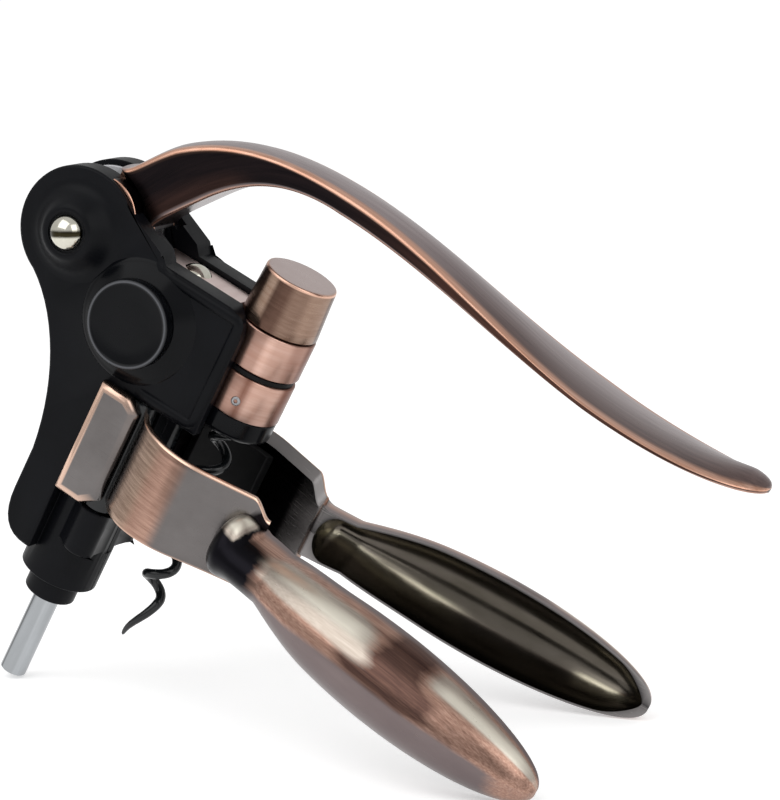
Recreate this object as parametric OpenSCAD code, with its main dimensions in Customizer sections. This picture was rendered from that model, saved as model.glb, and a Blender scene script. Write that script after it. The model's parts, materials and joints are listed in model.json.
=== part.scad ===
// Lever corkscrew of the rabbit type, standing on its guide rod and its two grip tips.
// Every piece is drawn about the worm: +X runs forward to the grips, +Y to the right shell, +Z up along
// the worm, with the lever pivot at height 0. stand() then leans the whole tool into its resting stance.

/* [Stance] */
// Lean of the worm from upright as the tool stands on its rod and both grip tips
stance = 26; // [24:0.5:28]
// Swing of each grip from its open stop to the closed jaws
grip_swing = 11; // [9:0.5:12]

/* [Body] */
// Distance from the worm axis back to the lever pivot
pivot_back = 54.3; // [54:0.1:55.5]
// Radius of the round end of the shells about the lever pivot
hub_r = 16.4; // [15.6:0.1:17.4]
// Half width of the body over both shells
body_half = 13.5; // [13:0.1:14]
// Half width of the slot between the shells
slot_half = 6; // [5.9:0.1:6.4]
// Height of the top edge of the shells in front of the round end
shell_top = 4.6; // [4:0.1:5.4]
// Height of the underside of the front panels
panel_low = -29; // [-30:0.1:-28.6]
// Distance from the worm axis back to the front edge of the panels
panel_back = 2.8; // [2:0.1:4]
// Height of the floor of the slot between the shells
slot_floor = -27; // [-28:0.1:-26]
// Distance from the worm axis back to the rear edge of the strip
strip_back = 41; // [40.5:0.1:43]
// Height of the lower end of the rear strip
strip_low = -80; // [-83:0.5:-78]
// Distance from the worm axis back to the front edge of the strip beneath the tail plates
strip_front = 30.5; // [29.5:0.1:31.5]
// Half width of the column between the two grip hinges
column_half = 6.5; // [6.3:0.1:6.6]
// Distance from the worm axis back to the front face of the column
column_front = 15.7; // [15.5:0.1:16.2]
// Radius of the rod housing under the jaws
housing_r = 10.3; // [9.5:0.1:11]
// Height of the lower end of the rod housing
housing_low = -87; // [-89:0.5:-84]
// Height of the lower end of the hinge lugs
lug_low = -74; // [-76:0.5:-70]
// Clear radius kept about the worm for the neck of a bottle
neck_clear_r = 15.6; // [15.3:0.1:15.8]

/* [Side knobs] */
// Distance from the worm axis back to the knob axis
knob_back = 28.9; // [28:0.1:30]
// Height of the knob axis
knob_z = -11.4; // [-12.5:0.1:-11]
// Radius of the knob disc
knob_r = 11.3; // [10.5:0.1:12]
// Thickness of the knob disc
knob_t = 3.9; // [3:0.1:5]
// Radius of the conical boss at the shell
boss_r = 14.5; // [13:0.1:15.2]
// Height of the conical boss
boss_t = 2.5; // [1.5:0.1:3.5]
// Radius of the knob stem in the shell
stem_r = 4; // [3:0.1:5]

/* [Lever pivot] */
// Radius of the lever pin
pin_r = 4; // [3.5:0.1:4.4]
// Radius of the domed pin head
pin_head_r = 4.6; // [4.5:0.1:5.5]
// Height of the domed pin head
pin_head_t = 3.4; // [2.5:0.1:4]
// Radius of the foot of the conical collar round the pin head
collar_r = 11; // [10:0.1:12]
// Height of the collar round the pin head
collar_t = 5.2; // [4.5:0.1:5.6]
// Running clearance of pins in their bores
pin_fit = 0.05; // [0.03:0.01:0.08]

/* [Lever] */
// Half width of the lever where it leaves the shells
lever_root_half = 7.4; // [7:0.1:8.5]
// Half width of the lever at its broad outer part
lever_wide_half = 13; // [10:0.1:14]
// Rise of the lever's crown above its edges at the outer part
lever_crown = 2.4; // [1.5:0.1:3.5]
// Distance from the worm axis forward to the tip of the lever
lever_reach = 126.8; // [120:0.1:135]
// Height of the lever's upper edge above the pivot, over the worm
lever_arch = 42.7; // [42:0.1:46]
// Depth of the lever's side over the worm
lever_depth = 5.1; // [4.5:0.1:7]
// Height towards which the lever dips beyond its arch
lever_dip = 23.5; // [20:0.5:26]
// Height of the lever's tip
lever_tip_z = 33.8; // [32:0.1:37]
// Thickness of the lever's edge at its tip
lever_edge = 1.2; // [1:0.1:2]
// Clearance between the lever and the round end of the shells
lever_gap = 0.7; // [0.5:0.1:1]
// Radius of the two cheeks of the lever's fork
cheek_r = 15; // [14:0.1:15.4]
// Thickness of each cheek
cheek_t = 1.4; // [1.2:0.1:1.6]

/* [Gear and rack] */
// Gear module, the pitch diameter per tooth
gear_module = 1; // [0.96:0.01:1]
// Teeth that a whole gear would have
gear_teeth = 30; // [29:1:30]
// Half width of the gear
gear_half = 4; // [3.6:0.1:4]
// Swing of the lever from lowered to raised
lever_swing = 165; // [150:1:170]
// Thinning of each tooth for backlash
tooth_backlash = 0.35; // [0.3:0.05:0.45]
// Radius of the gear rivets
rivet_r = 1.5; // [1.2:0.1:2]
// Distance of the gear rivets from the lever pin
rivet_pcd_r = 9; // [8:0.1:10]
// Half width of the rack bar
rack_half = 3.9; // [3.6:0.1:3.9]
// Thickness of the rack bar in front of its tooth roots
rack_back_t = 2.2; // [2:0.1:2.4]
// Clearance of sliding pieces in the shells
slide_gap = 0.35; // [0.3:0.05:0.4]

/* [Guide rod] */
// Distance from the worm axis back to the guide rod
rod_back = 25.4; // [25.2:0.1:25.6]
// Radius of the guide rod
rod_r = 3.5; // [3.3:0.1:3.6]
// Outer radius of the bush under the housing
bush_r = 6.8; // [6.5:0.1:8]
// Length of the bush under the housing
bush_len = 6.5; // [5:0.1:10]
// Radius of the bush spigot inside the housing
spigot_r = 5.4; // [5:0.1:6]
// Length of the bush spigot inside the housing
spigot_len = 9; // [6:0.5:11]
// Radius of the domed nut on the rod
rod_nut_r = 4.4; // [4:0.1:4.6]
// Height of the domed nut on the rod
rod_nut_t = 2.8; // [2:0.1:3.2]

/* [Barrel] */
// Outer radius of the barrel rings
barrel_r = 10.2; // [9.8:0.1:10.4]
// Upper face of the carriage ring
ring_top = 2.6; // [2.4:0.1:2.8]
// Lower face of the carriage ring
ring_low = -8.2; // [-8.6:0.1:-8]
// Top of the carriage arm
arm_top = 2.3; // [1.8:0.1:2.6]
// Half width of the carriage and nut arms
arm_half = 5.6; // [5.5:0.1:5.6]
// Bore of the carriage ring round the worm
ring_bore_r = 5; // [4.8:0.1:5.3]
// Radius of the seat for the worm washer
seat_r = 6.5; // [6.3:0.1:7]
// Depth of the seat for the worm washer
seat_depth = 4; // [3.8:0.1:4.4]
// Narrowing of the worm cap from its foot to its top
cap_taper = 0.75; // [0.4:0.05:1.2]
// Height of the worm cap
cap_h = 13.9; // [12:0.1:16]
// Shadow gap between the cap and the carriage ring
cap_gap = 0.4; // [0.3:0.05:0.6]
// Chamfer round the top of the cap
cap_chamfer = 0.5; // [0.3:0.1:1]
// Thickness of the buffer ring between the two barrel rings
buffer_t = 1.3; // [1:0.1:1.6]
// Running gap under the lowered carriage ring
buffer_gap = 0.4; // [0.3:0.1:0.6]
// Height of the nut housing ring
nut_ring_h = 11; // [9:0.1:12]
// Height of the black base of the worm nut
nut_base_h = 6; // [5:0.1:7]
// Radius of the worm nut inside its housing
nut_r = 7.4; // [7:0.1:8]
// Height of the threaded part of the worm nut
thread_h = 6; // [5:0.5:7]
// Height of the nut arm above the floor under it
nut_arm_h = 11; // [9:0.5:12]

/* [Worm] */
// Lead of the worm
worm_lead = 10.5; // [9.5:0.1:11.5]
// Radius of the worm's centre line
worm_mid_r = 3; // [2.9:0.05:3.1]
// Radius of the worm's wire
wire_r = 1.3; // [1.2:0.05:1.4]
// Height of the worm's point with the carriage lowered
worm_tip = -91.5; // [-93:0.5:-88]
// Length over which the worm draws in to its point
worm_taper = 12.5; // [10:0.5:14]
// Turn of the worm about its axis at rest
worm_phase = 190; // [0:1:359]
// Clearance round the wire in the worm nut
thread_gap = 0.75; // [0.65:0.05:0.9]
// Thickness of the worm washer
washer_t = 3; // [2.5:0.1:3.2]
// Radius of the worm screw
worm_screw_r = 1.5; // [1.3:0.05:1.55]
// Radius of the worm screw's head
worm_screw_head_r = 3.2; // [2.6:0.1:3.6]

/* [Grips] */
// Distance from the worm axis back to the grip hinges
hinge_back = 19; // [18.8:0.1:19.3]
// Distance from the middle out to each grip hinge
hinge_out = 10.5; // [10.3:0.1:10.7]
// Radius of the grip hinge pins
hinge_pin_r = 1.75; // [1.5:0.05:1.8]
// Radius of the hinge knuckle
knuckle_r = 3.6; // [3.4:0.1:3.7]
// Outer radius of the closed jaws
jaw_r = 20.8; // [20.5:0.1:21.5]
// Wall of the jaws
jaw_wall = 2.6; // [2.2:0.1:3]
// Upper edge of the jaws
jaw_top = -31.3; // [-32:0.1:-31]
// Lower edge of the jaws
jaw_low = -56; // [-58:0.1:-55]
// Upper edge of the tail plates
tail_top = -28.8; // [-29.4:0.1:-28]
// Lower edge of the tail plates
tail_low = -60.3; // [-60.6:0.1:-59]
// Distance from the worm axis back to the rear edge of the tail plates
tail_back = 30; // [28:0.1:32]
// Thickness of the tail plates
tail_t = 3.2; // [2.6:0.1:3.6]
// Thickness of the jaw pads
pad_t = 3; // [2.6:0.1:3.2]
// Distance from the worm axis forward to the root of the handles
handle_root = 24.6; // [24:0.1:26]
// Length of the handles
handle_len = 98.6; // [90:0.1:105]
// Greatest half height of the handles
handle_half = 11.7; // [10.5:0.1:13]
// Greatest depth of the handles behind their rim
handle_depth = 15; // [12:0.1:17]
// Distance from the middle to the rim of a closed handle
rim_out = 12.6; // [11:0.1:14]
// Wall of the hollow handles
handle_wall = 1.8; // [1.5:0.1:2.4]
// Height of the handles' middle line
handle_z = -45.7; // [-46.5:0.1:-44.5]

/* [Fasteners] */
// Radius of the shell screws
screw_r = 1.5; // [1.3:0.1:1.7]
// Radius of the shell screw heads
screw_head_r = 2.7; // [2.4:0.1:3]
// Radius of the cross pins
cross_pin_r = 1.5; // [1.2:0.1:1.7]
// Radius of the small screw in the nut housing
nut_screw_r = 1.3; // [1:0.1:1.6]

/* [Hidden] */
$fn = 64;

black = [0.07, 0.07, 0.08];
copper = [0.62, 0.38, 0.28];
bronze = [0.36, 0.26, 0.22];
steel = [0.75, 0.75, 0.77];

// A gear of this pitch radius rolls along the rack, so the carriage rises by it per radian of lever swing
gear_r = gear_module * gear_teeth / 2;
tooth_pitch = 2 * PI * gear_r / gear_teeth;
tooth_step = 360 / gear_teeth;
addendum = 0.92 * gear_module;
dedendum = 1.17 * gear_module;
rack_line = gear_r - pivot_back;
rack_root = rack_line + dedendum;
rack_front = rack_root + rack_back_t;
travel = gear_r * lever_swing * PI / 180;
rack_low = -travel - 1.6 * tooth_pitch;

arm_front = -barrel_r - 0.6;
nut_ring_top = ring_low - buffer_gap - buffer_t;
nut_ring_low = nut_ring_top - nut_ring_h;
nut_low = nut_ring_low - nut_base_h;
nut_floor = nut_ring_low - 3;
cap_low = ring_top + cap_gap;
cap_low_r = barrel_r - 0.05;
cap_top_r = cap_low_r - cap_taper;
seat_z = ring_top - seat_depth;
washer_low = seat_z + 0.2;
washer_top = washer_low + washer_t;
knuckle_top = panel_low - 0.4;
lug_top = tail_low - 0.9;
knuckle_low = lug_top + 0.4;
bush_low = housing_low - bush_len;
tail_in = body_half + 0.3;
jaw_in_r = jaw_r - jaw_wall;
channel_low = rack_low - 1;
press_fit = 0.02;
through = 100;
worm_top = washer_low - wire_r - 0.1;

// Points of a cubic curve through its two end points
function cubic(a, b, c, d, t) =
    pow(1 - t, 3) * a + 3 * t * pow(1 - t, 2) * b + 3 * t * t * (1 - t) * c + pow(t, 3) * d;
function curve(a, b, c, d, n) = [for (i = [0:n]) cubic(a, b, c, d, i / n)];

// Triangles between rings of m points, and the flat ends of a full ring and of a hollow half ring
function sides(rings, m) = concat(
    [for (r = [0:rings - 2], k = [0:m - 1])
        let (a = r * m, b = a + m, j = (k + 1) % m) [a + k, b + k, b + j]],
    [for (r = [0:rings - 2], k = [0:m - 1])
        let (a = r * m, b = a + m, j = (k + 1) % m) [a + k, b + j, a + j]]);
function fan(m) = [for (k = [1:m - 2]) [0, k, k + 1]];
function strip(n) = concat([for (k = [0:n - 1]) [k, k + 1, 2 * n - k]],
    [for (k = [0:n - 1]) [k, 2 * n - k, 2 * n + 1 - k]]);
function flipped(faces, e) = [for (f = faces) [e + f[0], e + f[2], e + f[1]]];
function skin(rings, m) = concat(sides(rings, m), fan(m), flipped(fan(m), (rings - 1) * m));
function hollow_skin(rings, n) = let (m = 2 * n + 2)
    concat(sides(rings, m), strip(n), flipped(strip(n), (rings - 1) * m));

// Lever: its upper and lower edge as two curves each, from the root to the arch and from the arch to the tip
lever_steps = 12;
lever_low = lever_arch - lever_depth;
function lever_upper(t) = t < 1
    ? cubic([-pivot_back + 1, 18.3], [-pivot_back + 13.9, 34], [-26.8, lever_arch], [2, lever_arch], t)
    : cubic([2, lever_arch], [41.8, lever_arch], [lever_reach - 55, lever_dip],
        [lever_reach, lever_tip_z], t - 1);
function lever_lower(t) = t < 1
    ? cubic([-pivot_back + 15.6, 8.2], [-pivot_back + 24.9, 25.2], [-19, lever_low + 1], [4, lever_low], t)
    : cubic([4, lever_low], [42, lever_low], [lever_reach - 45.3, lever_dip - 0.2],
        [lever_reach, lever_tip_z - lever_edge], t - 1);
function lever_half(t) = t < 1
    ? lever_root_half
    : let (s = t - 1, blend = s * s * (3 - 2 * s))
        (lever_root_half + (lever_wide_half - lever_root_half) * min(1, 1.37 * blend))
        * sqrt(max(0, 1 - pow(s, 14))) + 0.05;
function lever_rise(t) = 0.8 + (lever_crown - 0.8) * (t < 1 ? 0 : min(1, 2 * (t - 1)));
lever_stations = concat([for (i = [0:lever_steps - 1]) i / lever_steps],
    [for (i = [0:lever_steps]) 1 + 1 - pow(1 - i / lever_steps, 1.6)]);
function lever_ring(t) = let (u = lever_upper(t), l = lever_lower(t), h = lever_half(t),
        up = (u - l) / norm(u - l), c = up * lever_rise(t) * min(1, h / lever_root_half))
    [[l.x, -h, l.y], [l.x, h, l.y], [u.x, h, u.y], [u.x + 0.7 * c.x, 0.6 * h, u.y + 0.7 * c.y],
    [u.x + c.x, 0, u.y + c.y], [u.x + 0.7 * c.x, -0.6 * h, u.y + 0.7 * c.y], [u.x, -h, u.y]];
lever_points = [for (t = lever_stations) each lever_ring(t)];

// Handle: a hollow half leaf, drawn with its jaws closed and its rim facing the other handle
handle_steps = 18;
handle_arc = 8;
root_share = 0.5;
function leaf(u) = let (f = pow(max(0, sin(180 * pow(u, 1.1))), 0.4)) u < 0.5 ? max(root_share, f) : f;
// Below the middle line and in depth the leaf fills out later
function late(u) = let (t = min(1, max(0, (0.35 - u) / 0.25))) 0.12 * t * t * (3 - 2 * t);
function low_leaf(u) = u < 0.5 ? max(root_share, leaf(u) - late(u)) : leaf(u);
function hollow(u) = let (t = min(1, max(0, (u - 0.06) / 0.2))) 0.04 + 0.96 * t * t * (3 - 2 * t);
function handle_arc_points(x, high, low, d, back) = [for (k = [0:handle_arc])
    let (a = 180 * (back ? 1 - k / handle_arc : k / handle_arc))
        [x, -rim_out - d * sin(a), handle_z - (a < 90 ? low : high) * cos(a)]];
function inside(size) = max(0.35 * size, size - handle_wall);
function handle_ring(u) = let (x = handle_root + handle_len * u,
        high = handle_half * leaf(u), low = handle_half * low_leaf(u), d = handle_depth * low_leaf(u))
    concat(handle_arc_points(x, high, low, d, true),
        let (f = hollow(u)) handle_arc_points(x, inside(high) * f, inside(low) * f, inside(d) * f, false));
handle_stations = [for (i = [0:handle_steps]) 0.012 + 0.984 * (1 - cos(180 * i / handle_steps)) / 2];
handle_points = [for (u = handle_stations) each handle_ring(u)];

// Turn a point of the left grip from closed to open
function opened(p) = let (x = p.x + hinge_back, y = p.y + hinge_out)
    [x * cos(grip_swing) + y * sin(grip_swing) - hinge_back,
        y * cos(grip_swing) - x * sin(grip_swing) - hinge_out, p.z];

// Stance: the handles' lowest point sets the floor, and the rod is as long as it needs to be to reach it
function stood_x(p) = p.x * cos(stance) + p.z * sin(stance);
function stood_z(p) = p.z * cos(stance) - p.x * sin(stance);
floor_z = min([for (p = handle_points) stood_z(opened(p))]);
rod_low = (floor_z + (rod_r - rod_back) * sin(stance)) / cos(stance);
rear_x = stood_x([-rod_back - rod_r, 0, rod_low]);
front_x = max([for (p = lever_points) stood_x(p)]);
module stand() {
    translate([-(rear_x + front_x) / 2, 0, -floor_z]) rotate([0, stance, 0]) children();
}

// Extrude an outline in X and Z across the body from y0 to y1
module across(y0, y1) {
    translate([0, y1, 0]) rotate([90, 0, 0]) linear_extrude(y1 - y0) children();
}
// Extrude an outline in X and Y from height z0 up to z1
module upright(z0, z1) {
    translate([0, 0, z0]) linear_extrude(z1 - z0) children();
}
// Round bar across the body at [x, z]
module crossbar(x, z, r, y0, y1) {
    translate([x, y1, z]) rotate([90, 0, 0]) cylinder(r = r, h = y1 - y0);
}
// Low dome of radius r and height t
module dome(r, t) {
    bulge = (r * r + t * t) / (2 * t);
    intersection() {
        translate([0, 0, t - bulge]) sphere(r = bulge);
        cylinder(r = r, h = t);
    }
}

// Body shells
rear_curve = curve([-pivot_back - 7, -14.8], [-pivot_back + 4, -22], [-strip_back - 1.5, -38],
    [-strip_back, -56], 14);
foot_curve = curve([-strip_back, strip_low + 12], [-strip_back, strip_low + 4], [-strip_back + 3, strip_low],
    [-strip_back + 9, strip_low], 8);
nose_curve = curve([-panel_back - 6, shell_top], [-panel_back - 3, shell_top], [-panel_back, shell_top - 3],
    [-panel_back, shell_top - 7], 6);
module plate_outline() {
    translate([-pivot_back, 0]) circle(r = hub_r);
    polygon(concat([[-pivot_back, 0]], [rear_curve[0]], [for (p = rear_curve) if (p.y > panel_low) p],
        [[-strip_back - 6, panel_low]], [[-panel_back, panel_low]], [for (i = [6:-1:0]) nose_curve[i]],
        [[-rod_back - 4, shell_top], [-rod_back - 6, shell_top + 2.5], [-pivot_back + 11.5, 11.7]]));
}
module strip_outline() {
    polygon(concat([for (p = rear_curve) if (p.y < slot_floor) p], foot_curve,
        [[-strip_front, strip_low], [-strip_front, lug_top], [-hinge_back - 5.3, lug_top],
        [-hinge_back - 5.3, slot_floor], [-pivot_back + 4.5, slot_floor]]));
}
module lug_outline() {
    translate([-hinge_back, -hinge_out]) circle(r = knuckle_r + 0.6);
    polygon([[-rod_back, 0], [-rod_back, -housing_r + 0.2], [-hinge_back - 2, -hinge_out - knuckle_r],
        [-hinge_back + 4, -hinge_out - 1], [-column_front, 0]]);
}
screw_places = [[(rack_front - rod_back - rod_r) / 2, -40], [-strip_back + 3.6, -57],
    [-strip_back + 3.6, -71]];
module shell_solid() {
    across(-body_half, -slot_half) plate_outline();
    across(-body_half, 0) strip_outline();
    across(-column_half, 0) polygon([[-hinge_back - 5.3, lug_low], [-column_front, lug_top],
        [-column_front, nut_floor], [-hinge_back - 5.3, nut_floor]]);
    translate([-rod_back, 0, housing_low]) cylinder(r = housing_r, h = lug_top - housing_low);
    upright(lug_low, lug_top) lug_outline();
    translate([-knob_back, -body_half, knob_z]) rotate([90, 0, 0])
        cylinder(r1 = boss_r, r2 = knob_r - 1.6, h = boss_t);
    translate([-pivot_back, -body_half, 0]) rotate([90, 0, 0])
        cylinder(r1 = collar_r, r2 = pin_head_r + 1.6, h = collar_t);
}
// Room between the ramps of the shells for the root of the lowered lever
module root_relief() {
    step = [lever_gap, -lever_gap];
    difference() {
        polygon([lever_lower(0) + step, lever_lower(0.2) + step, lever_upper(0.2), lever_upper(0)]);
        at_pivot() circle(r = hub_r);
    }
}
module shell_cuts() {
    across(-lever_root_half - lever_gap, 1) root_relief();
    translate([-200, 0, -200]) cube([400, 100, 400]);
    translate([0, 0, panel_low - 1]) cylinder(r = barrel_r + slide_gap, h = through);
    translate([0, 0, lug_low - 1]) cylinder(r = neck_clear_r, h = lug_top - lug_low + 1.5);
    translate([-rod_back, 0, housing_low - 1]) cylinder(r = rod_r + slide_gap, h = through);
    translate([-rod_back, 0, housing_low - 1]) cylinder(r = spigot_r + pin_fit, h = spigot_len + 1.1);
    translate([rack_line - addendum - slide_gap, -rack_half - slide_gap, channel_low])
        cube([rack_front - rack_line + addendum + 2 * slide_gap, 2 * rack_half + 2 * slide_gap, 100]);
    crossbar(-pivot_back, 0, pin_r + pin_fit, -through, 1);
    crossbar(-pivot_back, 0, pin_head_r + 0.4, -through, -pin_seat);
    crossbar(-knob_back, knob_z, stem_r + pin_fit, -body_half - 5, -slot_half - 2);
    crossbar(nut_pin_x, nut_pin_z, cross_pin_r + pin_fit, -nut_pin_half - 0.1, 1);
    translate([-hinge_back, -hinge_out, lug_low + 1.5])
        cylinder(r = hinge_pin_r + pin_fit, h = hinge_pin_top - lug_low - 1.4);
}
hinge_pin_top = panel_low + 7;
nut_pin_half = 11.5;
nut_pin_x = -column_front + 0.2;
nut_pin_z = nut_floor + 5.5;
screw_seat = body_half - 2.4;
screw_tip = -body_half + 2;
module left_shell() {
    color(black) stand() difference() {
        shell_solid();
        shell_cuts();
        for (p = screw_places) crossbar(p.x, p.y, screw_r + pin_fit, screw_tip - 0.2, 1);
    }
}
module right_shell() {
    color(black) stand() difference() {
        mirror([0, 1, 0]) difference() {
            shell_solid();
            shell_cuts();
        }
        for (p = screw_places) {
            crossbar(p.x, p.y, screw_r + pin_fit, -1, body_half + 1);
            crossbar(p.x, p.y, screw_head_r + 0.2, screw_seat, body_half + 1);
        }
    }
}
module shell_screws() {
    color(steel) stand() for (p = screw_places) {
        crossbar(p.x, p.y, screw_r, screw_tip, screw_seat);
        crossbar(p.x, p.y, screw_head_r, screw_seat, body_half - 0.5);
    }
}

// Side knobs
module knob() {
    crossbar(-knob_back, knob_z, knob_r, -body_half - boss_t - knob_t, -body_half - boss_t);
    crossbar(-knob_back, knob_z, stem_r, -body_half - boss_t, -slot_half - 2.1);
}
module left_knob() {
    color(black) stand() knob();
}
module right_knob() {
    color(black) stand() mirror([0, 1, 0]) knob();
}

// Lever pivot
pin_seat = body_half + collar_t - 0.4;
cap_stub_r = 2;
cap_stub_len = 6;
module lever_pin() {
    color(steel) stand() difference() {
        union() {
            crossbar(-pivot_back, 0, pin_r, -pin_seat, pin_seat);
            translate([-pivot_back, -pin_seat, 0]) rotate([90, 0, 0]) dome(pin_head_r, pin_head_t);
        }
        crossbar(-pivot_back, 0, cap_stub_r + pin_fit, pin_seat - cap_stub_len - 0.3, pin_seat + 1);
    }
}
module lever_pin_cap() {
    color(steel) stand() {
        translate([-pivot_back, pin_seat, 0]) rotate([-90, 0, 0]) dome(pin_head_r, pin_head_t);
        crossbar(-pivot_back, 0, cap_stub_r, pin_seat - cap_stub_len, pin_seat);
    }
}

// Lever with its forked root, and the gear held in the fork
fork_out = slot_half - slide_gap;
fork_in = fork_out - cheek_t;
rivet_angles = [20, 85];
module at_pivot() {
    translate([-pivot_back, 0]) children();
}
module root_wedge() {
    polygon([[0, 0], 40 * [cos(27), sin(27)], 50 * [cos(55), sin(55)], 40 * [cos(83), sin(83)]]);
}
module gear_holes() {
    crossbar(-pivot_back, 0, pin_r + pin_fit, -20, 20);
    for (a = rivet_angles)
        crossbar(-pivot_back + rivet_pcd_r * cos(a), rivet_pcd_r * sin(a), rivet_r + press_fit, -20, 20);
}
module lever() {
    color(bronze) stand() difference() {
        union() {
            difference() {
                polyhedron(points = lever_points, faces = skin(len(lever_stations), 7), convexity = 6);
                crossbar(-pivot_back, 0, hub_r + lever_gap, -20, 20);
            }
            across(-fork_out, -fork_in) at_pivot() circle(r = cheek_r);
            across(fork_in, fork_out) at_pivot() circle(r = cheek_r);
            across(-fork_out, fork_out) at_pivot() intersection() {
                difference() {
                    circle(r = hub_r + lever_gap + 2.5);
                    circle(r = cheek_r - 0.8);
                }
                root_wedge();
            }
        }
        gear_holes();
    }
}
// One gear tooth pointing along +X
module gear_tooth() {
    half = (tooth_pitch / 2 - tooth_backlash) / 2;
    polygon([[gear_r - dedendum - 1, -half * 1.3], [gear_r, -half], [gear_r + addendum, -half * 0.4],
        [gear_r + addendum, half * 0.4], [gear_r, half], [gear_r - dedendum - 1, half * 1.3]]);
}
last_tooth = ceil(lever_swing / tooth_step) + 1;
module gear_outline() {
    toothed = [for (i = [-1.4:1:last_tooth + 0.6]) i * tooth_step];
    circle(r = gear_r - dedendum - 0.6);
    intersection() {
        circle(r = gear_r - dedendum);
        polygon(concat([[0, 0]], [for (a = toothed) 2 * gear_r * [cos(a), -sin(a)]]));
    }
    for (i = [-1:last_tooth]) rotate(-i * tooth_step) gear_tooth();
}
module drive_gear() {
    color(steel) stand() difference() {
        across(-gear_half, gear_half) at_pivot() gear_outline();
        gear_holes();
    }
}
module gear_rivets() {
    color(steel) stand() for (a = rivet_angles)
        crossbar(-pivot_back + rivet_pcd_r * cos(a), rivet_pcd_r * sin(a), rivet_r, -fork_out, fork_out);
}

// Carriage: upper barrel ring and the arm that holds the guide rod and the rack bar
carriage_pin_r = 1;
carriage_pin_z = -3 * tooth_pitch / 2;
carriage_pin_len = 7;
module carriage() {
    color(copper) stand() difference() {
        union() {
            translate([0, 0, ring_low]) cylinder(r = barrel_r, h = ring_top - ring_low);
            translate([rack_front, -arm_half, ring_low])
                cube([-rack_front, 2 * arm_half, arm_top - ring_low]);
        }
        translate([-rod_back, 0, ring_low - 1]) cylinder(r = rod_r + press_fit, h = through);
        translate([0, 0, ring_low - 1]) cylinder(r = ring_bore_r, h = through);
        translate([0, 0, seat_z]) cylinder(r = seat_r, h = through);
        at_carriage_pin() cylinder(r = carriage_pin_r + press_fit, h = carriage_pin_len + 0.2);
    }
}
module at_carriage_pin() {
    translate([rack_root + 0.2, 0, carriage_pin_z]) rotate([0, 90, 0]) children();
}
module rack_bar() {
    rows = [for (k = [0:ceil((arm_top - rack_low) / tooth_pitch) + 1]) tooth_pitch - k * tooth_pitch];
    half = (tooth_pitch / 2 + tooth_backlash) / 2;
    flank = tan(20);
    color(steel) stand() difference() {
        translate([rack_line - addendum, -rack_half, rack_low])
            cube([rack_front - rack_line + addendum, 2 * rack_half, arm_top - rack_low]);
        across(-rack_half - 1, rack_half + 1) for (z = rows)
            polygon([[rack_line - 2 * addendum, z - half - 2 * addendum * flank],
                [rack_root, z - half + dedendum * flank],
                [rack_root, z + half - dedendum * flank],
                [rack_line - 2 * addendum, z + half + 2 * addendum * flank]]);
        at_carriage_pin() cylinder(r = carriage_pin_r + press_fit, h = through);
    }
}
module guide_rod() {
    color(steel) stand() translate([-rod_back, 0, rod_low]) cylinder(r = rod_r, h = arm_top - rod_low);
}
module rod_nut() {
    color(steel) stand() translate([-rod_back, 0, arm_top]) dome(rod_nut_r, rod_nut_t);
}
module carriage_pin() {
    color(steel) stand() at_carriage_pin() cylinder(r = carriage_pin_r, h = carriage_pin_len);
}
module rod_bush() {
    color(black) stand() translate([-rod_back, 0, 0]) difference() {
        union() {
            translate([0, 0, bush_low]) cylinder(r = bush_r, h = bush_len);
            translate([0, 0, housing_low]) cylinder(r = spigot_r, h = spigot_len);
        }
        translate([0, 0, bush_low - 1]) cylinder(r = rod_r + pin_fit, h = through);
    }
}

// Worm cap, worm and the screw and washer that carry the worm in the carriage
cap_hollow_r = 5;
cap_hollow_h = 4;
module worm_cap() {
    color(copper) stand() difference() {
        union() {
            translate([0, 0, cap_low]) rotate_extrude() polygon([[0, 0], [cap_low_r - 0.3, 0],
                [cap_low_r, 0.3], [cap_top_r, cap_h - cap_chamfer], [cap_top_r - cap_chamfer, cap_h],
                [0, cap_h]]);
            translate([0, 0, washer_top + 0.2]) cylinder(r = seat_r - pin_fit, h = cap_low - washer_top);
        }
        cylinder(r = cap_hollow_r, h = cap_low + cap_hollow_h);
    }
}
worm_rings_per_turn = 12;
worm_sides = 8;
worm_ring_count = ceil((worm_top - worm_tip) / worm_lead * worm_rings_per_turn);
function draw_in(z) = min(1, max(0, (z - worm_tip) / worm_taper));
// Turn of the wire at height z; the drawn-out point turns less than the full coil
tip_turn = 0.36;
tip_start = worm_tip + worm_taper;
function worm_angle(z) =
    worm_phase + 360 / worm_lead * (max(z, tip_start) + tip_turn * min(0, z - tip_start));
function worm_center(z) = let (a = worm_angle(z), r = worm_mid_r * (0.62 + 0.38 * draw_in(z)))
    [r * cos(a), r * sin(a), z];
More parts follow.
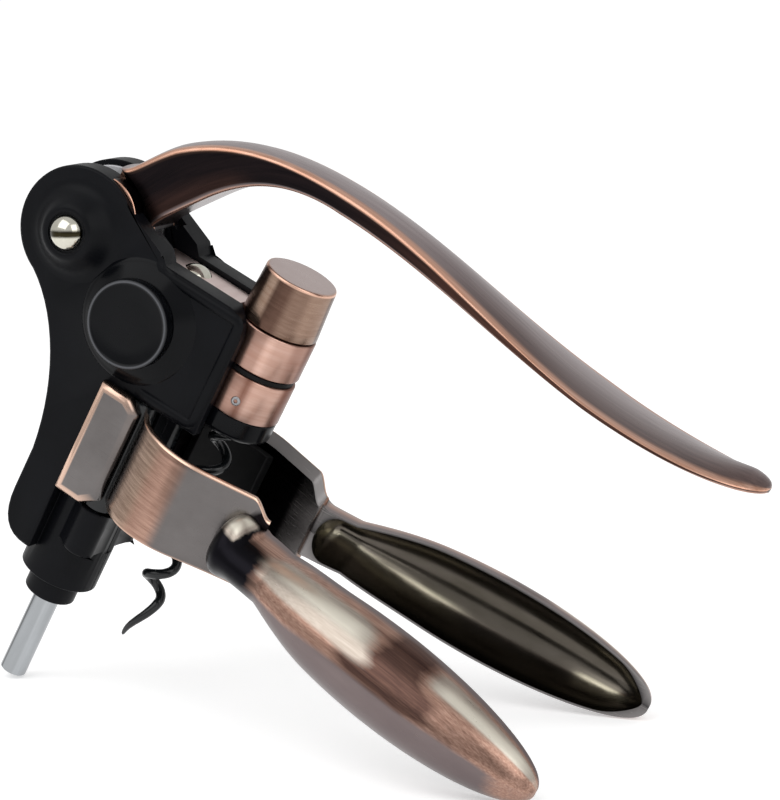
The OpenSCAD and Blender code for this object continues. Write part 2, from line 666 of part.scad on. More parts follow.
// Ring of a tube about the helix at height z, square to the wire
function worm_ring(z, tube_r) = let (a = worm_angle(z),
        rise = worm_lead / (2 * PI * worm_mid_r) / (z < tip_start ? tip_turn : 1),
        out = [cos(a), sin(a), 0], along = [-sin(a), cos(a), rise] / norm([1, rise]),
        side = cross(along, out))
    [for (k = [0:worm_sides - 1]) let (b = 360 * k / worm_sides)
        worm_center(z) + tube_r * (out * cos(b) + side * sin(b))];
function wire_at(z) = wire_r * (0.18 + 0.82 * pow(draw_in(z), 0.8));
worm_heights = [for (i = [0:worm_ring_count]) worm_tip + (worm_top - worm_tip) * i / worm_ring_count];
worm_points = [for (z = worm_heights) each worm_ring(z, wire_at(z))];
module worm() {
    color(black) stand()
        polyhedron(points = worm_points, faces = skin(len(worm_heights), worm_sides), convexity = 10);
}
module worm_washer() {
    color(steel) stand() difference() {
        translate([0, 0, washer_low]) cylinder(r = seat_r - 0.3, h = washer_t);
        translate([0, 0, washer_low - 1]) cylinder(r = worm_screw_r + press_fit, h = washer_t + 2);
    }
}
worm_screw_len = 13;
module worm_screw() {
    color(steel) stand() {
        translate([0, 0, washer_top - worm_screw_len]) cylinder(r = worm_screw_r, h = worm_screw_len);
        translate([0, 0, washer_top]) cylinder(r = worm_screw_head_r, h = 2.4);
    }
}

// Nut housing, worm nut and what holds them
nut_back = -rod_back + rod_r + 0.8;
module nut_housing() {
    color(copper) stand() difference() {
        union() {
            translate([0, 0, nut_ring_low]) cylinder(r = barrel_r, h = nut_ring_h);
            translate([nut_back, -arm_half, nut_floor]) cube([-nut_back, 2 * arm_half, nut_arm_h]);
        }
        translate([0, 0, nut_low - 1]) cylinder(r = nut_r + pin_fit, h = through);
        translate([0, 0, nut_low - 1]) cylinder(r = barrel_r, h = nut_ring_low - nut_low + 1);
        crossbar(nut_pin_x, nut_pin_z, cross_pin_r + pin_fit, -20, 20);
        at_nut_screw() cylinder(r = nut_screw_r + press_fit, h = through);
    }
}
module nut_pin() {
    color(steel) stand() crossbar(nut_pin_x, nut_pin_z, cross_pin_r, -nut_pin_half, nut_pin_half);
}
nut_screw_side = -79;
module at_nut_screw() {
    rotate([0, 0, nut_screw_side]) translate([nut_r + 0.3, 0, nut_ring_low + nut_ring_h * 0.4])
        rotate([0, 90, 0]) children();
}
module nut_screw() {
    color(steel) stand() at_nut_screw() cylinder(r = nut_screw_r, h = barrel_r - nut_r);
}
thread_rings = 16;
thread_over = 4;
thread_heights = [for (i = [0:thread_rings])
    nut_ring_low - thread_over + (thread_h + 2 * thread_over) * i / thread_rings];
module worm_nut() {
    color(black) stand() difference() {
        union() {
            translate([0, 0, nut_low]) rotate_extrude() polygon([[0, 0], [barrel_r - 1.2, 0],
                [barrel_r - 0.1, 1.1], [barrel_r - 0.1, nut_base_h], [0, nut_base_h]]);
            translate([0, 0, nut_ring_low]) cylinder(r = nut_r, h = thread_h);
        }
        translate([0, 0, nut_low - 1]) cylinder(r = ring_bore_r, h = nut_base_h + 1);
        polyhedron(points = [for (z = thread_heights) each worm_ring(z, wire_r + thread_gap)],
            faces = skin(len(thread_heights), worm_sides), convexity = 6);
    }
}
module buffer_ring() {
    color(black) stand() translate([0, 0, nut_ring_top]) difference() {
        cylinder(r = barrel_r - 0.6, h = buffer_t);
        translate([0, 0, -1]) cylinder(r = ring_bore_r, h = buffer_t + 2);
    }
}

// Grips, drawn closed and turned about their hinge to the open stop
module open_left() {
    translate([-hinge_back, -hinge_out, 0]) rotate([0, 0, -grip_swing])
        translate([hinge_back, hinge_out, 0]) children();
}
function around(r, a) = r * [cos(a), sin(a)];
strap_angle = 300;
strap_len = 17;
strap_dir = [-sin(strap_angle), cos(strap_angle)];
module jaw_outline() {
    intersection() {
        difference() {
            circle(r = jaw_r);
            circle(r = jaw_in_r);
        }
        polygon([[0, 0], around(60, 210), around(60, 240), around(60, 270), around(60, strap_angle)]);
    }
    polygon([around(jaw_r, strap_angle), around(jaw_r, strap_angle) + strap_len * strap_dir,
        around(jaw_in_r, strap_angle) + strap_len * strap_dir, around(jaw_in_r, strap_angle)]);
}
neck_half = 4.6;
neck_end = 5;
module neck_outline() {
    polygon([around(jaw_r - 0.4, strap_angle) + 0.15 * strap_len * strap_dir,
        around(jaw_r - 0.4, strap_angle) + 0.9 * strap_len * strap_dir,
        [handle_root + neck_end, -rim_out - 0.8],
        [handle_root + neck_end, -rim_out - 5.6], [handle_root - 6, -rim_out - 5.2]]);
}
tail_lap = 1.5;
module tail_outline() {
    polygon([[-tail_back, -tail_in], [-tail_back, -tail_in - tail_t + 0.7],
        [-tail_back + 0.7, -tail_in - tail_t], [-hinge_back + tail_lap - 0.7, -tail_in - tail_t],
        [-hinge_back + tail_lap, -tail_in - tail_t + 0.7], [-hinge_back + tail_lap, -tail_in]]);
}
// Side view of a tail plate, full height behind the hinge and as high as the jaws in front of it
module tail_side() {
    polygon([[-tail_back, tail_low], [-hinge_back - 3, tail_low], [-hinge_back + tail_lap, jaw_low - 1],
        [-hinge_back + tail_lap, jaw_top - 0.3], [-hinge_back - 2.5, tail_top], [-tail_back, tail_top]]);
}
module tail_plate() {
    intersection() {
        upright(tail_low, tail_top) tail_outline();
        across(-tail_in - tail_t - 1, 0) tail_side();
    }
}
module web_outline() {
    translate([-hinge_back, -hinge_out]) circle(r = knuckle_r);
    polygon([[-hinge_back - 4, -tail_in], [-hinge_back - 4, -tail_in - 1.2],
        [-hinge_back - 1.4, -tail_in - 1.2], [-hinge_back + 1, -hinge_out - knuckle_r + 0.2],
        [-hinge_back, -hinge_out]]);
}
module grip() {
    difference() {
        union() {
            open_left() {
                upright(jaw_low, jaw_top) jaw_outline();
                upright(handle_z - neck_half, handle_z + neck_half) neck_outline();
                polyhedron(points = handle_points, faces = hollow_skin(handle_steps + 1, handle_arc),
                    convexity = 6);
            }
            tail_plate();
            upright(knuckle_low, knuckle_top) web_outline();
        }
        translate([-hinge_back, -hinge_out, -through]) cylinder(r = hinge_pin_r + pin_fit, h = through);
    }
}
module left_grip() {
    color(bronze) stand() grip();
}
module right_grip() {
    color(bronze) stand() mirror([0, 1, 0]) grip();
}
pad_inset = 1.5;
pad_drop = 5;
module jaw_pad() {
    open_left() upright(jaw_low + pad_inset, jaw_top - pad_drop) intersection() {
        difference() {
            circle(r = jaw_in_r - press_fit);
            circle(r = jaw_in_r - pad_t);
        }
        polygon([[0, 0], around(60, 225), around(60, 262), around(60, strap_angle - 2)]);
    }
}
module left_jaw_pad() {
    color(black) stand() jaw_pad();
}
module right_jaw_pad() {
    color(black) stand() mirror([0, 1, 0]) jaw_pad();
}
module hinge_pin() {
    translate([-hinge_back, -hinge_out, lug_low + 1.6])
        cylinder(r = hinge_pin_r, h = hinge_pin_top - lug_low - 1.8);
}
module left_hinge_pin() {
    color(steel) stand() hinge_pin();
}
module right_hinge_pin() {
    color(steel) stand() mirror([0, 1, 0]) hinge_pin();
}

left_shell();
right_shell();
shell_screws();
left_knob();
right_knob();
lever_pin();
lever_pin_cap();
lever();
drive_gear();
gear_rivets();
carriage();
rack_bar();
guide_rod();
rod_nut();
carriage_pin();
worm_cap();
worm();
worm_washer();
worm_screw();
nut_housing();
worm_nut();
nut_screw();
nut_pin();
buffer_ring();
rod_bush();
left_hinge_pin();
right_hinge_pin();
left_grip();
right_grip();
left_jaw_pad();
right_jaw_pad();
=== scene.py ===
# %% [markdown]
# # A lever corkscrew of the rabbit type
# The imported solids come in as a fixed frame: they say where every piece is and how it moves. This lesson
# gives them their looks. Pieces that are machined or moulded in simple forms keep their solid and get eased
# edges; the lever, the two grips and the worm are flowing forms, so they are built again as smooth meshes.

# %% Load the frame
import json
from math import atan2, cos, degrees, hypot, pi, radians, sin, sqrt

import bmesh
import bpy
from mathutils import Matrix, Vector


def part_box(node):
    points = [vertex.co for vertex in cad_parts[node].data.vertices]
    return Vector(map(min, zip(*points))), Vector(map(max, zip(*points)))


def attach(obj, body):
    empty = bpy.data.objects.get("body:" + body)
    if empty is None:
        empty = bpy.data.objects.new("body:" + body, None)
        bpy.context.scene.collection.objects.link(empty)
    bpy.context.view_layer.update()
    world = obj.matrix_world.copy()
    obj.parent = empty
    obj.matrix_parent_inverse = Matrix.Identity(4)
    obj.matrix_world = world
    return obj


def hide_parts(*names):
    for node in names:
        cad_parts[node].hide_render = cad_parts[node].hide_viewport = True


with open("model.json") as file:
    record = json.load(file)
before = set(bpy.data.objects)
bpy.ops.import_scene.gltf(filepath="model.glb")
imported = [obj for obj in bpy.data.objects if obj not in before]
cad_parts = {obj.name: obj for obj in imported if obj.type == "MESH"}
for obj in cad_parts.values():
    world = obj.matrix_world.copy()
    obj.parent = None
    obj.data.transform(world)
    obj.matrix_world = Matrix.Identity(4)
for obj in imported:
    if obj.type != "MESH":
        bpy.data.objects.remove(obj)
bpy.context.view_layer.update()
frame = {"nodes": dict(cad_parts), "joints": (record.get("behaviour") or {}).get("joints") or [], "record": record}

BODY_OF = {node: body for body, nodes in frame["record"]["behaviour"]["bodies"].items() for node in nodes}
JOINT = {joint["name"]: joint for joint in frame["joints"]}
scene = bpy.context.scene

# %% [markdown]
# ## The tool's own axes
# The corkscrew leans on its rod and grip tips, so nothing on it is upright in the world. Measuring along the
# tool itself is easier: forward to the grips, across the body, and up along the worm, in millimetres, from
# the worm's axis at the height of the lever pivot. The worm's joint gives that origin and that axis.

# %% Axes and places
MM = 0.001
UP = Vector(JOINT["worm_spin"]["axis"]).normalized()
SIDE = Vector((0, 1, 0))
FORWARD = SIDE.cross(UP)
TOOL = Matrix((FORWARD, SIDE, UP)).transposed().to_4x4()
TOOL.translation = Vector(JOINT["worm_spin"]["pos_m"])


def place(point):
    """World place of a point given in millimetres along the tool's axes."""
    return TOOL @ (MM * Vector(point))


def measured(point):
    """Millimetres along the tool's axes of a place in the world."""
    return (TOOL.inverted() @ Vector(point)) / MM


PIVOT = measured(JOINT["lever_swing"]["pos_m"])
HINGE = measured(JOINT["left_grip_swing"]["pos_m"])
GRIP_SWING = radians(JOINT["left_grip_swing"]["range_deg"][1])
print("lever pivot", [round(c, 2) for c in PIVOT], "left hinge", [round(c, 2) for c in HINGE])

# %% [markdown]
# ## From points to a piece
# Every new piece starts as a list of points and faces in millimetres. One helper makes the mesh, shades it
# smooth apart from its real corners, lets it ride on its body and hides the solid it stands for. The points'
# millimetres stay on the mesh as "along", which is what the grain of each finish follows. A second helper
# takes a solid that is already right and rounds its corners with a Bevel modifier, since even a sharp-looking
# edge catches a line of light.

# %% Piece helpers
SHARP, FLAT = radians(30), radians(1)
MERGED, SLIVER = 1e-6, 1e-5  # metres


def keep_numbers(mesh, along, flags):
    """Store what steers the finishes on a mesh's points; each flag is a list, a rule for a point or one number."""
    spots = [MM * c for p in along for c in p]
    mesh.attributes.new("along", "FLOAT_VECTOR", "POINT").data.foreach_set("vector", spots)
    for title, values in (flags or {}).items():
        if not isinstance(values, list):
            values = [values(p) if callable(values) else values for p in along]
        mesh.attributes.new(title, "FLOAT", "POINT").data.foreach_set("value", values)


def columns(titles, rows):
    """Flags from rows that hold each point's numbers in the order of the titles."""
    return {title: list(values) for title, values in zip(titles, zip(*rows))}


def piece(name, form, body, finish, nodes=(), corner=35, move=None, flags=None, along=None):
    """A mesh from a form's points and faces, in millimetres along the tool's axes, riding on a body."""
    points, faces = form
    base = TOOL @ move if move else TOOL
    mesh = bpy.data.meshes.new(name)
    mesh.from_pydata([base @ (MM * Vector(p)) for p in points], [], faces)
    skin = bmesh.new()
    skin.from_mesh(mesh)
    bmesh.ops.recalc_face_normals(skin, faces=skin.faces)
    skin.to_mesh(mesh)
    skin.free()
    keep_numbers(mesh, along or points, flags)
    return dress(name, mesh, body, finish, nodes, corner)


def linked(name, data):
    """A new object in the scene."""
    made = bpy.data.objects.new(name, data)
    scene.collection.objects.link(made)
    return made


def dress(name, mesh, body, finish, nodes, corner=35):
    """Link a mesh as a piece of the object with its finish, body and solid."""
    mesh.shade_smooth()
    mesh.set_sharp_from_angle(angle=radians(corner))
    mesh.materials.clear()
    for coat in finish if isinstance(finish, list) else [finish]:
        mesh.materials.append(coat.material)
    made = linked(name, mesh)
    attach(made, body)
    if nodes:
        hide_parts(*nodes)
    return made


def ease_edges(made, width, weighted=False):
    """Round every sharp corner by width millimetres, or by each edge's own weight."""
    bevel = made.modifiers.new("eased edges", "BEVEL")
    bevel.width = width * MM
    bevel.segments = 3
    bevel.limit_method = "WEIGHT" if weighted else "ANGLE"
    bevel.angle_limit = SHARP
    bevel.use_clamp_overlap = False
    bevel.harden_normals = True
    return made


def eased(node, width, finish, soft=None, flags=None):
    """A copy of a solid with joined-up flat faces and rounded corners; soft gives an edge's own rounding."""
    mesh = frame["nodes"][node].data.copy()
    skin = bmesh.new()
    skin.from_mesh(mesh)
    bmesh.ops.remove_doubles(skin, verts=skin.verts, dist=MERGED)
    bmesh.ops.dissolve_degenerate(skin, edges=skin.edges, dist=SLIVER)
    bmesh.ops.dissolve_limit(skin, angle_limit=FLAT, verts=skin.verts, edges=skin.edges)
    if soft:
        weight = skin.edges.layers.float.new("bevel_weight_edge")
        for edge in skin.edges:
            if len(edge.link_faces) == 2 and edge.calc_face_angle() > SHARP:
                edge[weight] = soft(*[measured(v.co) for v in edge.verts]) / width
    skin.to_mesh(mesh)
    skin.free()
    keep_numbers(mesh, [measured(v.co) for v in mesh.vertices], flags)
    made = dress(node + "_eased", mesh, BODY_OF[node], finish, [node])
    return ease_edges(made, width, weighted=soft is not None)


# %% [markdown]
# ## Forms
# Three ways of making a form cover all that follows. A turned form spins a profile about an axis, as on a
# lathe. A loft joins rings of points, for the lever and the grips. A swept tube is a loft whose rings follow
# a wire, for the worm.

# %% Form helpers
ROUND, LEAST_R = 96, 0.01


def loft(rings, capped=True):
    """Points and faces of a skin over rings that each hold the same number of points."""
    count = len(rings[0])
    points = [p for ring in rings for p in ring]
    faces = []
    for r in range(len(rings) - 1):
        for k in range(count):
            a, b, j = r * count, (r + 1) * count, (k + 1) % count
            faces.append((a + k, a + j, b + j, b + k))
    if capped:
        faces += [tuple(reversed(range(count))), tuple(range(len(points) - count, len(points)))]
    return points, faces


def turned(profile, foot, axis, steps=ROUND, capped=True):
    """Points and faces of a profile of (radius, height) spun about an axis from a foot point."""
    axis = Vector(axis).normalized()
    first = axis.orthogonal().normalized()
    second = axis.cross(first)
    turns = [2 * pi * k / steps for k in range(steps)]
    ways = [cos(angle) * first + sin(angle) * second for angle in turns]
    rings = [[Vector(foot) + height * axis + max(radius, LEAST_R) * way for way in ways] for radius, height in profile]
    return loft(rings, capped)


def cubic(a, b, c, d, t):
    """Point of a cubic curve between a and d."""
    a, b, c, d = (Vector(p) for p in (a, b, c, d))
    return (1 - t) ** 3 * a + 3 * t * (1 - t) ** 2 * b + 3 * t * t * (1 - t) * c + t ** 3 * d


def smooth(t):
    """Soft step from 0 to 1."""
    t = min(1, max(0, t))
    return t * t * (3 - 2 * t)


def within(value, low, high, soft):
    """1 between low and high, falling off softly outside."""
    return smooth((value - low) / soft + 1) * smooth((high - value) / soft + 1)


# %% [markdown]
# ## Finishes
# Most of the metal is antiqued copper plate: copper that is darkened all over, then brushed so that edges and
# high spots show bright again. Each finish is a Principled shader with fine noise for its grain. The grain is
# stretched along the tool's own axes, or along a piece's own length, by the measures kept on its points.

# %% Finish helpers
MIX_SHARE, MIX_FIRST, MIX_SECOND, MIX_RESULT = 0, 6, 7, 2
TONE_LOW, TONE_HIGH, GLOSS_LOW, GLOSS_HIGH = 0.3, 0.7, 0.25, 0.75


def tint(code):
    """Linear colour from a hex code as seen on a screen."""
    parts = [int(code[i:i + 2], 16) / 255 for i in (0, 2, 4)]
    return tuple(c / 12.92 if c <= 0.04045 else ((c + 0.055) / 1.055) ** 2.4 for c in parts) + (1,)


class Finish:
    """A material and short ways to wire its nodes."""

    def __init__(self, name, gloss=None, relief=None, **sockets):
        self.material = bpy.data.materials.new(name)
        self.material.use_nodes = True
        self.tree = self.material.node_tree
        self.shader = self.tree.nodes["Principled BSDF"]
        self.feed(**sockets)
        if gloss:
            self.roughness(*gloss)
        if relief:
            self.bump(*relief)

    def link(self, source, target):
        """Link a socket to another one, or set that one to a value or a colour's code."""
        if isinstance(source, bpy.types.NodeSocket):
            self.tree.links.new(source, target)
        else:
            target.default_value = tint(source) if isinstance(source, str) else source

    def feed(self, **sockets):
        """Give sockets of the shader what they show."""
        for title, value in sockets.items():
            self.link(value, self.shader.inputs[title.replace("_", " ")])

    def node(self, kind, sockets=None, **settings):
        """A new node with its settings and what its sockets get."""
        made = self.tree.nodes.new(kind)
        for key, value in settings.items():
            setattr(made, key, value)
        for title, value in (sockets or {}).items():
            self.link(value, made.inputs[title])
        return made

    def maths(self, operation, *values):
        """Result of a sum with sockets and numbers."""
        return self.node("ShaderNodeMath", dict(enumerate(values)), operation=operation).outputs[0]

    def grain(self, cells, detail=4.0, rough=0.6):
        """Noise of that many cells per metre, the same all ways or one number for each axis."""
        cells = cells if isinstance(cells, tuple) else (cells, cells, cells)
        along = self.node("ShaderNodeAttribute", attribute_name="along").outputs["Vector"]
        where = self.node("ShaderNodeMapping", {"Vector": along, "Scale": cells}).outputs["Vector"]
        look = {"Vector": where, "Scale": 1.0, "Detail": detail, "Roughness": rough}
        return self.node("ShaderNodeTexNoise", look).outputs["Fac"]

    def flag(self, title):
        """A number stored on the mesh's points."""
        return self.node("ShaderNodeAttribute", attribute_name=title).outputs["Fac"]

    def ramp(self, source, *stops):
        """Colours or greys along a number."""
        made = self.node("ShaderNodeValToRGB", {"Fac": source})
        band = made.color_ramp
        while len(band.elements) < len(stops):
            band.elements.new(0.5)
        for element, (spot, colour) in zip(band.elements, stops):
            element.position = spot
            element.color = tint(colour) if isinstance(colour, str) else (colour, colour, colour, 1)
        return made.outputs["Color"]

    def tones(self, noise, low, high):
        """Two tones along a noise, or along a new one of that many cells per metre."""
        source = noise if isinstance(noise, bpy.types.NodeSocket) else self.grain(noise)
        return self.ramp(source, (TONE_LOW, low), (TONE_HIGH, high))

    def blend(self, share, first, second):
        """Mix of two colours, by a number or by the title of one that is stored on the points."""
        share = self.flag(share) if isinstance(share, str) else share
        sockets = {MIX_SHARE: share, MIX_FIRST: first, MIX_SECOND: second}
        return self.node("ShaderNodeMix", sockets, data_type="RGBA").outputs[MIX_RESULT]

    def ragged(self, title, streak, reach):
        """A number stored on the points, with its soft edges broken up along the streaks of a brush."""
        broken = self.maths("MULTIPLY_ADD", streak, reach, self.flag(title))
        half = 0.5 * reach
        return self.ramp(broken, (max(0.0, 0.12 + half), 0.0), (min(1.0, 0.88 + half), 1.0))

    def colour(self, tone, *coats):
        """Base colour: a tone, with others laid over it as far as their numbers say."""
        for share, coat in coats:
            tone = self.blend(share, tone, coat)
        self.feed(Base_Color=tone)

    def roughness(self, cells, low, high):
        """Roughness that wanders between low and high."""
        self.feed(Roughness=self.ramp(self.grain(cells), (GLOSS_LOW, low), (GLOSS_HIGH, high)))

    def bump(self, cells, height, strength, detail=4.0):
        """Fine relief, its height in millimetres."""
        relief = {"Height": self.grain(cells, detail), "Distance": height * MM, "Strength": strength}
        self.feed(Normal=self.node("ShaderNodeBump", relief).outputs["Normal"])


# %% [markdown]
# ### Black plastic
# The shells and side knobs are moulded in black plastic with a satin skin. A fine even noise gives the spark
# of the mould's texture, and a large soft noise the slight unevenness that keeps black from looking painted.

# %% Black finishes
black = Finish("satin_black", (140, 0.34, 0.44), (2600, 0.05, 0.2, 2), Specular_IOR_Level=0.1)
black.colour(black.tones(60, "07080b", "0d0e12"))

glossy_black = Finish("glossy_black", (300, 0.14, 0.22), (500, 0.03, 0.15), Specular_IOR_Level=0.11)
# The grey "rim" tone on the knob's rounded rim is a painted highlight.
glossy_black.colour(glossy_black.tones(90, "050609", "0a0b0e"), ("rim", "5f6064"))

rubber = Finish("black_rubber", (800, 0.5, 0.65), (1500, 0.05, 0.3), Specular_IOR_Level=0.15)
rubber.colour(rubber.tones(400, "0a0a0b", "121213"))

worm_coat = Finish("worm_coating", (900, 0.16, 0.28), (1800, 0.02, 0.2), Specular_IOR_Level=0.4)
worm_coat.colour(worm_coat.tones(500, "0e1012", "171a1c"))
print("black finishes", black.material.name, glossy_black.material.name, rubber.material.name)

# %% [markdown]
# ### Copper and steel
# The rings of the barrel are bright copper plate and the cap is brushed bronze. Grain that is stretched round
# the barrel needs no unwrapping: noise that changes fast along the worm and slowly across it makes rings. A
# brushed barrel also shows upright bands of light and dark, since its fine rings spread each light along the
# worm; the number "band" on the points carries those bands round the barrel, the cap and the rod as painted
# reflection and shade, and another number paints a dark slanting reflection across the nickel heads of the
# lever pin.

# %% Copper and steel finishes
ring_copper = Finish("ring_copper", ((90, 90, 2500), 0.28, 0.38), ((60, 60, 5000), 0.01, 0.1), Metallic=1.0)
# ring_tone is the light of painted reflection bands, laid by "band" over a dark base of painted shade.
ring_tone = ring_copper.tones((70, 70, 900), "c29c8c", "d2b0a2")
arm_tone = ring_copper.tones((300, 60, 60), "d6bfba", "e4d2cd")
ring_copper.colour("643a2b", ("band", ring_tone), ("arm", arm_tone))

cap_bronze = Finish("cap_bronze", ((200, 200, 2600), 0.24, 0.36), ((120, 120, 6000), 0.012, 0.15), Metallic=1.0)
# cap_light is the light of painted reflection bands and cap_dark the painted shade between them.
cap_light = cap_bronze.tones((150, 150, 1300), "b2937f", "c5a996")
cap_dark = cap_bronze.tones((150, 150, 1300), "432e27", "533b32")
cap_bronze.colour(cap_dark, ("band", cap_light), ("rim", "d9b09b"), ("top", "bfaeaa"))

bright_steel = Finish("bright_steel", ((900, 900, 90), 0.1, 0.15), ((2500, 2500, 120), 0.01, 0.06), Metallic=1.0)
# The rod's light tone is painted reflection bands over a dark base of painted shade.
bright_steel.colour("2e3032", ("band", bright_steel.tones((400, 400, 60), "a6a9ac", "b0b3b6")))

nickel = Finish("nickel", (900, 0.1, 0.18), (2500, 0.01, 0.1), Metallic=1.0)
# The dark band mixed in here is a painted reflection across the pin's domed heads.
nickel.colour(nickel.tones(300, "c3c0b2", "d6d3c8"), ("painted_reflection", "2e2a1c"))

plain_steel = Finish("plain_steel", (700, 0.3, 0.42), (2000, 0.02, 0.2), Metallic=1.0)
plain_steel.colour(plain_steel.tones(200, "8c8c8e", "a3a3a5"))
print("metal finishes", ring_copper.material.name, cap_bronze.material.name, bright_steel.material.name)

# %% [markdown]
# ### Antiqued copper
# The lever and grips are darkened copper. Numbers on the mesh's points steer the finish: "bright" is 1 along
# edges that were rubbed back to copper, and "dark" is 1 where the patina stays and where dark reflection and
# shade are painted. Two numbers paint highlights, one pale and one nearly white; "under" paints the mauve
# reflection of the handles' undersides and "root" a near-black reflection at their roots, and "warm" picks the
# brown tones in between. On the jaws "brushed" and "pink" are strips of open brushing and "pale" is the dull
# inner chamfer.

# %% Antiqued finishes
lever_copper = Finish("lever_antique", ((80, 1500, 1500), 0.24, 0.36), ((90, 4000, 4000), 0.01, 0.12), Metallic=1.0)
lever_streak = lever_copper.grain((60, 900, 900))
# The grey-mauve top is a painted sheen of light; the dark sides are patina with painted dark reflection over them.
top_painted_sheen = lever_copper.tones(lever_streak, "9f9293", "b2a6a6")
side_patina_and_shade = lever_copper.tones(lever_streak, "161315", "201a1b")
warm_tone = lever_copper.tones(lever_streak, "3b2923", "523830")
edge_tone = lever_copper.tones(lever_streak, "c08f77", "d9ae99")
side_patina_and_shade = lever_copper.blend("warm", side_patina_and_shade, warm_tone)
lever_copper.colour(top_painted_sheen, ("dark", side_patina_and_shade), ("bright", edge_tone))

spoon_copper = Finish("grip_antique", ((30, 900, 900), 0.26, 0.36), ((30, 2500, 2500), 0.01, 0.18), Metallic=1.0)
spoon_streak = spoon_copper.grain((34, 2600, 2600))
spoon_wide = spoon_copper.grain((22, 500, 500))
# Over the brushed copper tone lies painted light: highlights pale and nearly white, a mauve reflection on the
# underside, and dark reflections in a band and at the root.
spoon_tone = spoon_copper.ramp(spoon_streak, (TONE_LOW, "8e6d5f"), (0.5, "a58373"), (TONE_HIGH, "bb9989"))
spoon_highlight = spoon_copper.tones(spoon_streak, "aa9e92", "bcb1a6")
spoon_underside_reflection = spoon_copper.tones((30, 90, 90), "6f6464", "7b6f6e")
spoon_reflection_dark = spoon_copper.tones(spoon_streak, "4b3834", "6a5046")
streaked = [(spoon_copper.ragged(title, spoon_wide, reach), coat)
            for title, reach, coat in (("under", 0.5, spoon_underside_reflection), ("dark", 0.7, spoon_reflection_dark),
                                       ("root", 0.6, "17161a"), ("painted_highlight", 0.6, spoon_highlight))]
spoon_copper.colour(spoon_tone, *streaked, ("painted_shine", "f6f0e0"))

hollow_metal = Finish("hollow_gunmetal", ((90, 300, 300), 0.16, 0.26), (700, 0.02, 0.15), Metallic=1.0)
hollow_tone = hollow_metal.tones((40, 120, 120), "524d44", "67615a")
# Painted shade darkens the hollow's upper wall and lower edge; painted glints lie low on its wall.
hollow_metal.colour(hollow_tone, ("dark", "14120f"), ("painted_highlight", "c4bda6"))

PALE_METALLIC = 0.15
jaw_metal = Finish("jaw_antique", ((120, 120, 2500), 0.18, 0.3), ((80, 80, 5000), 0.012, 0.18), Metallic=1.0)
jaw_streak = jaw_metal.grain((90, 90, 1500), detail=5, rough=0.65)
jaw_smooth = jaw_metal.tones(60, "615d5c", "6e6a69")
jaw_brushed = jaw_metal.tones(jaw_streak, "7d6557", "bba18f")
jaw_pink = jaw_metal.tones(jaw_streak, "8d6b5c", "b79382")
# The dark tone lays the painted shade round the handle's root, and darkens a strip across the band and the inner wall.
jaw_metal.colour(jaw_smooth, ("brushed", jaw_brushed), ("pink", jaw_pink), ("pale", "a19d9c"),
                 ("dark", "171416"), ("bright", "e3bfaa"))
jaw_metal.feed(Metallic=jaw_metal.ramp(jaw_metal.flag("pale"), (0.0, 1.0), (1.0, PALE_METALLIC)))
print("antiqued finishes", lever_copper.material.name, spoon_copper.material.name, jaw_metal.material.name)

# %% [markdown]
# ## Body shells, knobs and pivot
# Two moulded half shells carry everything. Their solids have the right outline, so a copy of each with eased
# edges is enough, and what a mould adds on top is built as separate raised forms: the border that runs round
# the front panel, the bell-shaped collar in which the pin's head sits, and the flared foot of each knob.

# %% Shells
SIDES = (("left", -1), ("right", 1))
BODY_HALF = 13.5
KNOB = (-28.9, -11.4)
KNOB_REACH, PIVOT_REACH = 15.5, 12
LEVER_BAY = ((-46, -22), (4, 20))
OUTLINE_EASE, INNER_EASE, FITTED_EASE = 0.9, 0.3, 0.1


def shell_rounding(a, b):
    """How far a shell's edge is rounded: well on its outer outline, hardly at all where other pieces meet it."""
    middle = (a + b) / 2
    by_knob = hypot(middle.x - KNOB[0], middle.z - KNOB[1]) < KNOB_REACH
    by_pivot = hypot(middle.x - PIVOT.x, middle.z) < PIVOT_REACH
    (back, front), (low, high) = LEVER_BAY
    if by_knob or by_pivot or (back < middle.x < front and low < middle.z < high):
        return FITTED_EASE
    return OUTLINE_EASE if min(abs(a.y), abs(b.y)) > BODY_HALF - 0.05 else INNER_EASE


for side in ("left", "right"):
    eased(side + "_shell", 1.0, black, soft=shell_rounding)
    eased(side + "_hinge_pin", 0.2, plain_steel)
    eased(side + "_jaw_pad", 0.4, rubber)


# %% Raised forms on the shells
RIDGE = ((-0.5, -0.3), (-0.36, 0.6), (-0.16, 1), (0.16, 1), (0.36, 0.6), (0.5, -0.3))
RIDGE_RUN, RIDGE_SINK = 3, 0.3


def ridge(path, side, width, height):
    """A low rounded ridge along a path of (x, z) points on a shell's outer face, sunk at its ends."""
    rings = []
    for i, spot in enumerate(path):
        ahead = path[min(i + 1, len(path) - 1)] - path[max(i - 1, 0)]
        across = Vector((-ahead.y, ahead.x)).normalized()
        fade = min(1, i / RIDGE_RUN, (len(path) - 1 - i) / RIDGE_RUN)
        ring = []
        for share, lift in RIDGE:
            point = spot + share * width * across
            rise = height * (lift * fade - RIDGE_SINK * (1 - fade))
            ring.append((point.x, side * (BODY_HALF + rise), point.y))
        rings.append(ring)
    return loft(rings)


def rounded_path(corners, radius, steps=6):
    """Points along straight runs whose corners are rounded."""
    corners = [Vector(corner) for corner in corners]
    path = corners[:1]
    for before, corner, after in zip(corners, corners[1:], corners[2:]):
        start, end = (corner + radius * (other - corner).normalized() for other in (before, after))
        path += [start.lerp(corner, t).lerp(corner.lerp(end, t), t) for t in [k / steps for k in range(steps + 1)]]
    return path + corners[-1:]


def evenly(path, step):
    """The path again, with points about step apart."""
    out = [path[0]]
    for a, b in zip(path, path[1:]):
        count = max(1, round((b - a).length / step))
        out += [a.lerp(b, (k + 1) / count) for k in range(count)]
    return out


